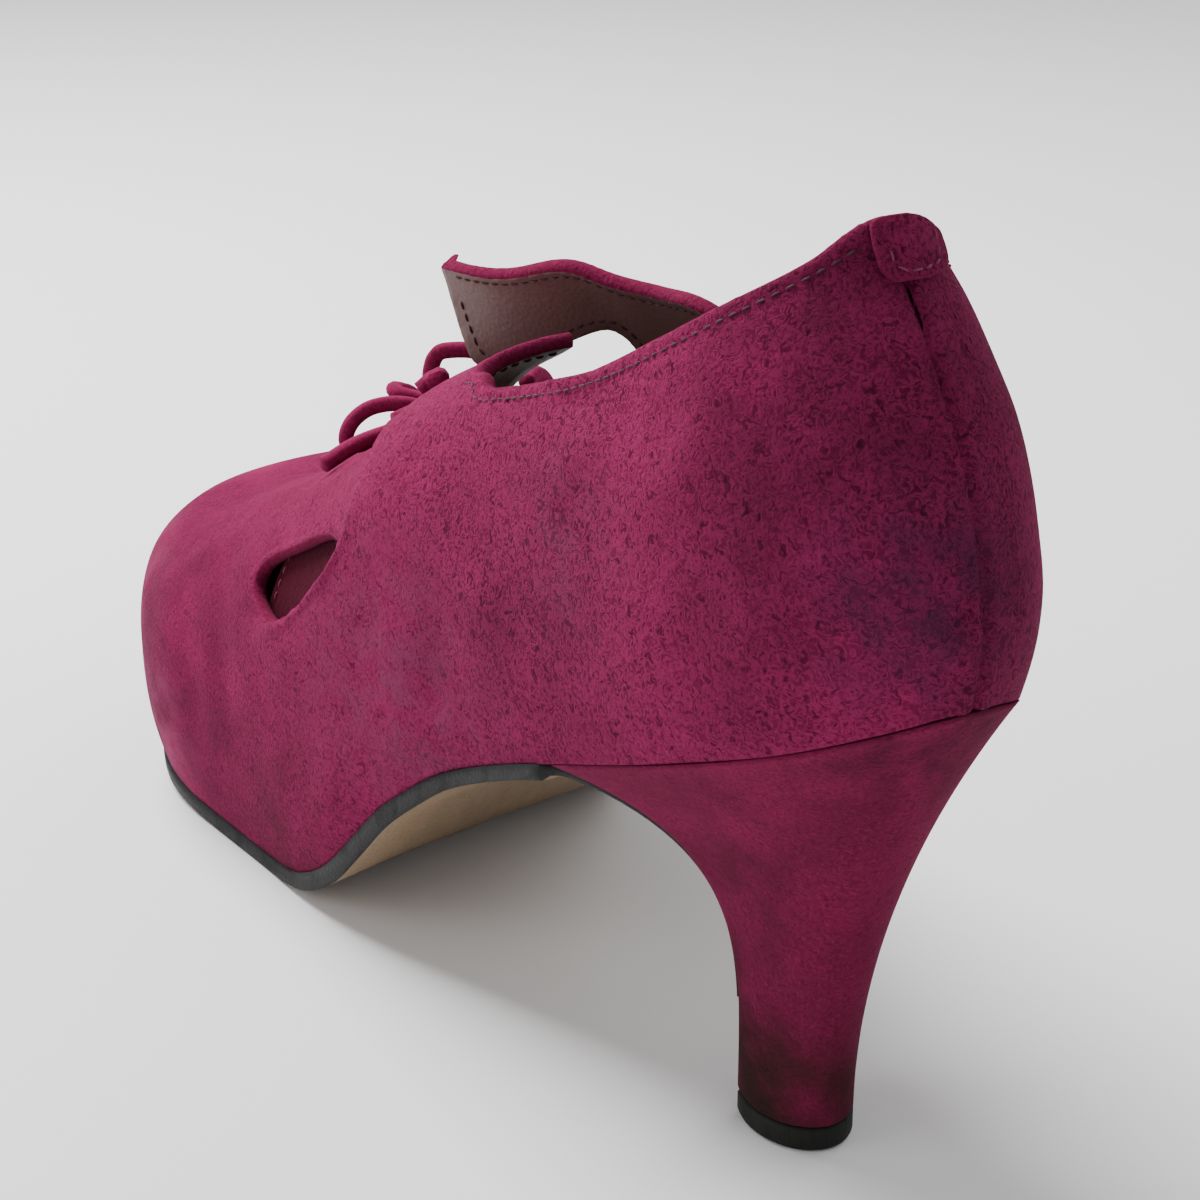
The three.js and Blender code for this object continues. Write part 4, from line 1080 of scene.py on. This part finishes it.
@dataclass
class Upper:
    """The suede upper: wall, rolled edges, seams and stitches."""

    openings: Openings
    wall: float = 2.2
    stitch_in: float = 2.3
    roll: float = 0.28
    lap: float = 1.5
    lap_reach: float = 13

    def relief(self, points: Array, x: Array, lean: Array, d: Array) -> Array:
        """How far the leather stands up from or sinks below the plain form."""
        raised = self.roll * bell(d - 0.9, 0.9) - 0.2 * bell(d - self.stitch_in, 0.45)
        y = points[:, 1] - LAST.tip_side
        seam = (0.25 * bell(np.abs(y) - 1.5, 0.8) - 0.5 * bell(y, 0.5)) * (x < 0)
        row = 0.12 * bell(np.abs(y) - 5.2, 1.0) * (x < -8)
        total = raised + seam - row
        at = np.stack([x, lean * ROUND], -1)
        for crease in CREASES:
            ends = [(LAST.stand(along), turn * ROUND) for along, turn in (crease.start, crease.end)]
            away = line_distance(np.array(ends), at)
            bulge = 0.45 * bell(away - 1.8 * crease.width, crease.width)
            total -= crease.depth * (bell(away, crease.width) - bulge)
        step = line_distance(self.openings.overlap, at)
        above = (outside(self.openings.toe_part, at) > 0) & (lean >= 0)
        total += np.where(above, self.lap * bell(step, self.lap_reach) + 0.25 * bell(step - 1.2, 0.8), 0)
        waves = np.sin(x * 0.21 + lean * 0.05) * np.sin(lean * 0.13 - x * 0.04)
        return total + 0.09 * waves * np.clip(d / 8, 0, 1)

    def _row(self, outline: Array, inner: bool, inset: float) -> list[tuple[Array, Array]]:
        """Stitch rows that run beside an outline.

        Args:
            outline: The line in the flat map.
            inner: Which side it is on.
            inset: How far in from the edge the row runs.

        Returns:
            Stretches of points and normals.
        """
        run = np.gradient(outline, axis=0)
        run /= np.maximum(np.linalg.norm(run, axis=1, keepdims=True), 1e-9)
        across = np.stack([-run[:, 1], run[:, 0]], 1)
        best: list[tuple[Array, Array]] = []
        for sign in (1, -1):
            at = outline + sign * across * inset
            lean = at[:, 1] / ROUND
            d = self.openings.keep(at[:, 0], lean, inner)
            side = lean <= 0 if inner else lean >= 0
            points = LAST.upper_point(at[:, 0], lean, inner)
            on_heel = at[:, 0] > LAST.heel_curve_x(points[:, 2]) + 0.3
            good = (np.abs(d - inset) < 0.25) & side & on_heel
            ahead = LAST.upper_point(at[:, 0] + 0.4, lean, inner) - points
            turn = -0.5 if inner else 0.5
            round_ = LAST.upper_point(at[:, 0], lean + turn, inner) - points
            out = np.cross(ahead, round_) * (-1 if inner else 1)
            out /= np.maximum(np.linalg.norm(out, axis=1, keepdims=True), 1e-9)
            cuts = np.flatnonzero(np.diff(good.astype(int))) + 1
            for part in np.split(np.arange(len(at)), cuts):
                if len(part) > 3 and good[part[0]]:
                    best.append((points[part], out[part]))
        return best

    def build(self, finishes: Wardrobe) -> None:
        """Builds and dresses the upper.

        Args:
            finishes: The shoe's materials.
        """
        shell = Shell("upper_leather", self.openings.keep, 210, 96, stands=True, relief=self.relief)
        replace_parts(dress(shell.build(), "suede", finishes.suede, finishes.lining, finishes.binding), "upper")
        o = self.openings
        rows = [
            *self._row(o.outer_line, False, self.stitch_in),
            *self._row(o.inner_line, True, self.stitch_in),
            *self._row(o.strap_end, True, self.stitch_in),
        ]
        dress(stitches("edge_stitches", rows), "suede", finishes.thread)
        inside = [(p - n * (self.wall + 0.05), -n) for p, n in rows]
        dress(stitches("lining_stitches", inside), "lining", finishes.thread)
        LOG.info("upper with %d stitch rows", len(rows))


def rounded(past_x: Array, past_y: Array, corner: float) -> Array:
    """How far inside a rounded outline a place lies, from how far past its corner's middle it is each way."""
    return corner - np.hypot(np.maximum(past_x, 0), np.maximum(past_y, 0))


@dataclass
class Panels:
    """The tongue, the flap that shows in the outer cut-out, and the tab over the back seam."""

    openings: Openings
    wall: float = 2.2
    patch: float = 1.0
    thickness: float = 1.3
    tongue_span: tuple[float, float] = (0.57, 0.735)
    tongue_spread: float = 30
    tongue_corner: float = 6
    flap_span: tuple[float, float] = (0.49, 0.66)
    flap_levels: tuple[float, float] = (0.44, 0.65)
    flap_corner: float = 5
    tab_outer: float = 3
    tab_inner: float = 8
    tab_height: float = 7.5
    tab_corner: float = 2
    stitch_in: float = 1.5
    flap_row_from: float = 0.52
    flap_row_foot: float = 0.46
    flap_row_in: float = 1.6
    flap_row_bend: float = 4
    tab_row_sides: tuple[float, float] = (-6.6, 1.8)
    tab_row_drop: tuple[float, float] = (1.5, 6.1)

    def tongue_keep(self, x: Array, lean: Array, inner: bool) -> Array:
        """How far inside the tongue a place lies."""
        corner = self.tongue_corner
        start, end = LAST.stand(self.tongue_span)
        past_end = np.maximum(start + corner - x, x - end + corner)
        return rounded(past_end, np.abs(lean) - self.tongue_spread + corner, corner)

    def flap_keep(self, x: Array, lean: Array, inner: bool) -> Array:
        """How far inside the side flap a place lies."""
        corner = self.flap_corner
        if inner:
            return np.full(np.shape(x), -float(corner))
        z = LAST.point(x, lean)[..., 2]
        start, end = LAST.stand(self.flap_span)
        foot, head = np.multiply(self.flap_levels, LAST.instep_height)
        past_end = np.maximum(start + corner - x, x - end + corner)
        return rounded(past_end, np.maximum(z - head + corner, foot + corner - z), corner)

    def tab_keep(self, x: Array, lean: Array, inner: bool) -> Array:
        """How far inside the back tab a place lies."""
        p = LAST.point(x, lean)
        corner = self.tab_corner
        y = p[..., 1] - LAST.tip_side
        past_side = np.maximum(y - self.tab_outer + corner, corner - self.tab_inner - y)
        below = LAST.collar_height - self.tab_height + corner - p[..., 2]
        return np.minimum(rounded(past_side, below, corner), self.openings.keep(x, lean, inner) + 0.1)

    def edge_relief(self, points: Array, x: Array, lean: Array, d: Array) -> Array:
        """A stitched edge: slightly sunk along its row of stitches."""
        return -0.22 * bell(d - self.stitch_in, 0.5)

    def build(self, finishes: Wardrobe) -> None:
        """Builds and dresses the three panels.

        Args:
            finishes: The shoe's materials.
        """
        inside = -(self.wall + LAST.clear)
        # the side flap and tongue take the darker suede copy, painted shade for the shade in the cut-outs
        dark = (finishes.flap, finishes.lining, finishes.flap)
        sunk = {"off": inside, "thickness": self.thickness, "relief": self.edge_relief}
        tongue = Shell("tongue_panel", self.tongue_keep, 60, 60, (0.53, 0.77), **sunk)
        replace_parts(dress(tongue.build(), "dark_suede", *dark), "tongue")
        flap = Shell("side_flap_panel", self.flap_keep, 60, 70, (0.45, 0.68), 0.25, **sunk)
        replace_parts(dress(flap.build(), "dark_suede", *dark), "side_flap")
        tab = Shell(
            "back_tab_patch", self.tab_keep, 60, 110, (0, 0.34), 0.25,
            off=LAST.clear + self.patch, thickness=self.patch + 0.25, relief=self.edge_relief,
        )
        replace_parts(dress(tab.build(), "suede", finishes.suede, finishes.suede, finishes.binding), "back_tab")
        rows = [self._flap_row(flap), self._tab_row(tab)]
        dress(stitches("panel_stitches", rows, 2.3), "suede", finishes.pale_thread)
        LOG.info("tongue, side flap and back tab")

    def _flap_row(self, flap: Shell) -> tuple[Array, Array]:
        """The side flap's row along its top and front edges."""
        inset, bend = self.flap_row_in, self.flap_row_bend
        start, end = LAST.stand(self.flap_row_from), LAST.stand(self.flap_span[1]) - inset
        foot, head = self.flap_row_foot * LAST.instep_height, self.flap_levels[1] * LAST.instep_height - inset
        turn = np.radians(np.linspace(90, 0, 9))
        corner = np.stack([end - bend + bend * np.cos(turn), head - bend + bend * np.sin(turn)], 1)
        wanted = np.vstack([[[start, head]], corner, [[end, foot]]])
        return self._lay(flap, wanted, (0, 2))

    def _tab_row(self, tab: Shell) -> tuple[Array, Array]:
        """The back tab's row along its sides and foot."""
        left, right = (LAST.tip_side + side for side in self.tab_row_sides)
        top, foot = (LAST.collar_height - drop for drop in self.tab_row_drop)
        up = [[left, top], [left, foot + 1], [left + 1, foot]]
        down = [[right - 1, foot], [right, foot + 1], [right, top]]
        wanted = np.array(up + down)
        return self._lay(tab, wanted, (1, 2))

    @staticmethod
    def _lay(shell: Shell, wanted: Array, axes: tuple[int, int]) -> tuple[Array, Array]:
        """Lays a flat line on a shell's outer face.

        Args:
            shell: The built shell.
            wanted: The line in two axes.
            axes: Which two axes they are.

        Returns:
            Points and normals along the line.
        """
        reach = np.append(0, np.cumsum(np.linalg.norm(np.diff(wanted, axis=0), axis=1)))
        at = np.arange(0, reach[-1], 0.6)
        line = np.stack([np.interp(at, reach, wanted[:, k]) for k in (0, 1)], 1)
        flat = shell.points[:, list(axes)]
        nearest = [int(np.argmin(((flat - p) ** 2).sum(1))) for p in line]
        points = shell.points[nearest].copy()
        points[:, list(axes)] = line
        return points, shell.normals[nearest]


# The sole's section: its edge as inset in millimetres and depth by share, then shares across its tread.
SOLE_EDGE = ((0, 0), (0, 0.45), (0.15, 0.85), (0.7, 1))
TREAD_SHARES = (0.8, 0.6, 0.4, 0.2)


@dataclass
class HeelAndSole:
    """The covered heel, its tip, the leather sole and the sock inside."""

    tip_width: float = 15.2
    tip_length: float = 15.4
    top_lift: float = 3.8
    breast: float = 25.5
    corner: float = 45
    corner_width: float = 0.84
    flap_sole: float = 1.2
    flap_end: float = 0.3
    front_along: float = 3.7
    back_along: float = 1.8
    front_across: float = 4.7
    back_across: float = 2.1
    seat_gap: float = 0.15
    welt: float = 0.35
    shank_thinner: float = 0.7
    bend_behind: float = 3.5
    flap_start: float = 0.95
    flap_steps: int = 24

    def tip_outline(self, turn: float, inset: float) -> tuple[float, float]:
        """The heel tip's outline: flat front, round back."""
        half, front = self.tip_width / 2 - inset, self.tip_length / 2 - inset
        if abs(turn) <= self.corner:
            return front, half * self.corner_width * math.tan(math.radians(turn))
        start = math.asin(self.corner_width)
        swing = start + (math.pi - start) * (abs(turn) - self.corner) / (180 - self.corner)
        radius = 2 * front / (1 + math.cos(start))
        return radius * math.cos(swing) + radius - front, math.copysign(half * math.sin(swing), turn)

    def seat_outline(self, turn: float) -> tuple[float, float, float]:
        """The heel seat's outline: flat front, then along the upper's edge."""
        if abs(turn) <= self.corner:
            edge = float(LAST.sole_edge(np.array(self.breast), turn < 0)) - LAST.tip_side
            top = float(LAST.sole_top(np.array(self.breast)))
            return self.breast, abs(edge) * math.tan(math.radians(turn)) + LAST.tip_side, top
        back = (abs(turn) - self.corner) / (180 - self.corner)
        end = float(LAST.heel_curve_x(LAST.sole_top(np.array(-LAST.heel_reach + 1)))) + 0.02
        x = end + (self.breast - end) * (1 - back) ** 2
        return x, float(LAST.sole_edge(np.array(x), turn < 0)), float(LAST.sole_top(np.array(x)))

    def heel_point(self, turn: float, up: float) -> Array:
        """A point of the heel's side."""
        (bx, by), (sx, sy, sz) = self.tip_outline(turn, 0), self.seat_outline(turn)
        forward = (1 + math.cos(math.radians(turn))) / 2
        at_front = 1 if abs(turn) <= self.corner else forward**1.5
        along = self.back_along + (self.front_along - self.back_along) * at_front
        across = self.back_across + (self.front_across - self.back_across) * at_front
        foot, top = self.top_lift + LAST.clear, sz - LAST.clear
        return np.array([bx + (sx - bx) * up**along, by + (sy - by) * up**across, foot + (top - foot) * up])

    def build_heel(self, finishes: Wardrobe) -> None:
        """Builds the heel and its tip."""
        turns = [-180 + 360 * (k + 1) / 72 for k in range(72)]
        rings = [np.array([self.heel_point(turn, up) for turn in turns]) for up in np.linspace(0, 1, 56)]
        low = rings[0].copy()
        low[:, :2] *= 0.97
        rings = [low, *[r + (0, 0, 0.35 if k == 0 else 0) for k, r in enumerate(rings)]]
        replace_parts(dress(loft("heel_cover", rings), "suede", finishes.heel), "heel")
        layers = ((0, 0.7), (0.35, 0.2), (0.8, 0), (self.top_lift - 0.5, 0), (self.top_lift, 0.25))
        rings = [np.array([(*self.tip_outline(turn, inset), z) for turn in turns]) for z, inset in layers]
        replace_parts(dress(loft("heel_tip_block", rings), "top_lift", finishes.rubber), "top_lift")
        LOG.info("heel and tip")

    def build_sole(self, finishes: Wardrobe) -> None:
        """Builds the leather sole with its black edge, down to the flap on the heel's front."""
        tip = LAST.tip_x
        while LAST.sole_edge(np.array(tip), False) - LAST.sole_edge(np.array(tip), True) < 1:
            tip -= 0.25
        front, steps = self.breast + self.bend_behind, 110
        stations = []
        for k in range(steps + 1):
            x = np.array(front + (tip - 0.6 - front) * (1 - (k / steps) ** 1.6))
            nose = float(smooth((tip - x) / 6))
            out = self.welt * nose
            y = [float(LAST.sole_edge(x, True)) - out, float(LAST.sole_edge(x, False)) + out]
            z = [float(LAST.side_top(x, np.asarray(side))) - self.seat_gap for side in (True, False)]
            thin = self.shank_thinner * float(smooth((LAST.share(front + 60) - LAST.share(x)) / 0.2))
            stations.append((float(x), z, y, LAST.sole - thin))
        down, count = self.flap_end - self.flap_start, self.flap_steps
        foot = [self._flap_station(self.flap_start + down * k / count, k / count) for k in range(count + 1)]
        (ax, az, ay, _), (cx, cz, cy, _) = stations[-1], foot[0]
        bx, bz = self.breast + 0.9, float(LAST.sole_top(np.array(self.breast))) - 0.7
        for u in (0.2, 0.35, 0.5, 0.65, 0.8, 0.9):
            p, q, r = (1 - u) ** 2, 2 * u * (1 - u), u * u
            z = az[0] * p + bz * q + cz[0] * r
            y = [m + (n - m) * u for m, n in zip(ay, cy)]
            stations.append((ax * p + bx * q + cx * r, [z, z], y, 2 - 0.6 * u))
        stations += foot
        level = [sum(s[1]) / 2 for s in stations]
        rings = []
        for k, (x, z, y, thick) in enumerate(stations):
            m, n = max(k - 1, 0), min(k + 1, len(stations) - 1)
            run, rise = stations[n][0] - stations[m][0], level[n] - level[m]
            size = math.hypot(run, rise)

            def under(across: float, side: float, depth: float) -> list[float]:
                """A point below the upper face, by share across, place sideways and share of depth."""
                top = z[0] * (1 - across) + z[1] * across
                if k < steps and top < (LAST.sole + LAST.clear) * 1.02:
                    return [x, side, max(top - (LAST.sole + self.seat_gap) * depth, 0)]
                return [x - rise / size * thick * depth, side, max(top + run / size * thick * depth, 0)]

            width = y[1] - y[0]
            narrow = min(1, width / 12)
            outer = [(1, y[1] - inset * narrow, depth) for inset, depth in SOLE_EDGE]
            tread = [(part, y[0] + width * part, 1) for part in TREAD_SHARES]
            inner = [(0, y[0] + inset * narrow, depth) for inset, depth in SOLE_EDGE[::-1]]
            rings.append(np.array([under(*place) for place in (*outer, *tread, *inner)]))
        first, last = len(SOLE_EDGE) - 1, len(SOLE_EDGE) + len(TREAD_SHARES) - 1
        sole = loft("sole_board", rings, lambda k, i: int(first <= i <= last))
        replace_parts(dress(sole, "sole", finishes.edge, finishes.tread), "outsole")
        LOG.info("sole")

    def _flap_station(self, up: float, part: float) -> tuple:
        """A station of the sole's flap on the heel's front."""
        p, q = self.heel_point(self.corner, up), self.heel_point(-self.corner, up)
        x, z = float(p[0]) + 0.15, float(p[2])
        return x, [z, z], [float(q[1]), float(p[1])], self.flap_sole * (1 - 0.5 * part)

    def build(self, finishes: Wardrobe) -> None:
        """Builds all of it and dresses the sock."""
        self.build_heel(finishes)
        self.build_sole(finishes)
        sock = bpy.data.objects["insole"]
        sock.data.materials.clear()
        sock.data.materials.append(finishes.sock)


# Bows: rows of share along, lean and height over the last. LOW is how high a bar lies.
LOW = 1.9
BOWS: dict[str, dict[str, tuple[tuple[float, float, float], ...]]] = {
    "front_bow": {
        "bar": (
            (0.67, -26, LOW), (0.674, -16, LOW), (0.676, -7, LOW), (0.676, 0, LOW),
            (0.676, 7, LOW), (0.674, 16, LOW), (0.67, 26, LOW),
        ),
        "knot": (
            (0.664, -6, 4.9), (0.672, -7, 5.8), (0.683, -7, 5.8), (0.689, -6.5, 4.9),
        ),
        "loop_a": (
            (0.688, -2, 4.8), (0.69, 1, 6.4), (0.694, 4, 7.2), (0.699, 7.5, 7.2),
            (0.705, 11, 5.8), (0.711, 12.5, 3.6), (0.714, 10.5, 2.3), (0.708, 6, 2.3),
            (0.7, 1.5, 2.4), (0.692, -2.5, 2.4),
        ),
        "loop_b": (
            (0.699, -7, 4.6), (0.704, -3, 7), (0.71, 0, 9), (0.719, 0, 10.2),
            (0.73, -2.5, 10), (0.738, -6, 8), (0.737, -9.5, 5), (0.726, -11.5, 2.8),
            (0.712, -11, 2.7), (0.701, -10, 2.9),
        ),
    },
    "upper_bow": {
        "bar": ((0.6, -7, LOW), (0.6, 0, LOW), (0.6, 8, LOW), (0.598, 16, LOW)),
        "knot": (
            (0.59, 5, 4.9), (0.597, 4, 5.8), (0.607, 4, 5.8), (0.612, 6, 4.9),
        ),
        "loop_a": (
            (0.606, -9, 7.4), (0.609, -5, 9.6), (0.616, -1.5, 10.8), (0.622, 0.3, 11),
            (0.6295, 1, 9.5), (0.6355, 1.2, 6.9), (0.638, 0.2, 4.4), (0.635, -3, 3),
            (0.626, -7.5, 2.7), (0.616, -11, 2.8),
        ),
        "loop_b": (
            (0.612, -15, 4.6), (0.62, -18, 7), (0.632, -22, 7.4), (0.643, -27, 5.4),
            (0.645, -30, 3.2), (0.638, -28, 2.7), (0.626, -22, 2.7), (0.614, -17, 2.6),
        ),
    },
}


@dataclass
class Bow:
    """A cord bow: a bar across, a knot and two loops."""

    name: str
    across: float = 2.9
    knot: float = 3.9

    def build(self, finishes: Wardrobe) -> None:
        """Builds the bow.

        Args:
            finishes: The shoe's materials.
        """
        made = {}
        for part, rows in BOWS[self.name].items():
            path = eased([LAST.over(row) for row in rows], 6)
            node = f"{self.name}_{part}"
            thick = self.knot if part == "knot" else self.across
            piece = tube(f"{node}_cord", path, thick, groove=0.1)
            made[part] = (dress(piece, "cord", finishes.cord), path)
            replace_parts(piece, node)
        for part in ("loop_a", "loop_b"):
            piece, path = made[part]
        LOG.info("%s", self.name)


@dataclass
class Studio:
    """Camera, lights and floor, in metres."""

    eye: tuple[float, float, float] = (-0.27085, 0.19007, 0.21635)
    aim: tuple[float, float, float] = (0.052, 0.004, 0.0645)
    lens: float = 80.0
    lit: tuple[float, float, float] = (0.07, 0, 0.05)
    surround: Colour = (0.95, 0.96, 1)
    surround_power: float = 0.42
    floor_half: float = 3
    floor_tone: Colour = (0.86, 0.86, 0.86)

    def camera(self) -> None:
        """Sets the camera where the photograph was taken from, turned to the one shoe."""
        data = bpy.data.cameras.new("camera")
        data.lens = self.lens
        data.sensor_width = 36.0
        data.clip_start = 0.01
        made = new_object("camera", data)
        made.location = self.eye
        made.rotation_euler = (Vector(self.aim) - Vector(self.eye)).to_track_quat("-Z", "Y").to_euler()
        bpy.context.scene.camera = made

    def lights(self) -> None:
        """Soft light from above the toe, a weak fill from behind and a pale surround."""
        for name, place, size, power in (
            ("key", (0.6, 0.15, 0.75), 0.5, 19.0),
            ("side", (0.25, 0.9, 0.4), 0.6, 2.6),
            ("fill", (-0.7, -0.1, 0.5), 0.9, 1.0),
            ("far", (0.1, -0.8, 0.7), 0.8, 3.0),
        ):
            data = bpy.data.lights.new(name, "AREA")
            data.size = size
            data.energy = power
            lamp = new_object(name, data)
            lamp.location = place
            towards = Vector(self.lit) - Vector(place)
            lamp.rotation_euler = towards.to_track_quat("-Z", "Y").to_euler()
        world = bpy.data.worlds.new("studio")
        world.use_nodes = True
        surround = {"Color": (*self.surround, 1), "Strength": self.surround_power}
        Nodes(world.node_tree).feed(world.node_tree.nodes["Background"], surround)
        bpy.context.scene.world = world

    def floor(self) -> None:
        """A plain pale floor."""
        mesh = bpy.data.meshes.new("floor")
        half = self.floor_half
        corners = [(-half, -half, 0), (half, -half, 0), (half, half, 0), (-half, half, 0)]
        mesh.from_pydata(corners, [], [[0, 1, 2, 3]])
        made = new_object("floor", mesh)
        material, make, shader = blank("floor")
        make.feed(shader, {"Base Color": (*self.floor_tone, 1), "Roughness": 0.9})
        made.data.materials.append(material)


def main() -> None:
    """Builds the scene in order."""
    logging.basicConfig(level=logging.INFO)
    studio = Studio()
    studio.camera()
    finishes = Wardrobe()
    for name in BOWS:
        Bow(name).build(finishes)
    openings = Openings()
    Upper(openings).build(finishes)
    Panels(openings).build(finishes)
    HeelAndSole().build(finishes)
    studio.lights()
    studio.floor()
    bpy.context.view_layer.update()


if __name__ == "__main__":
    main()
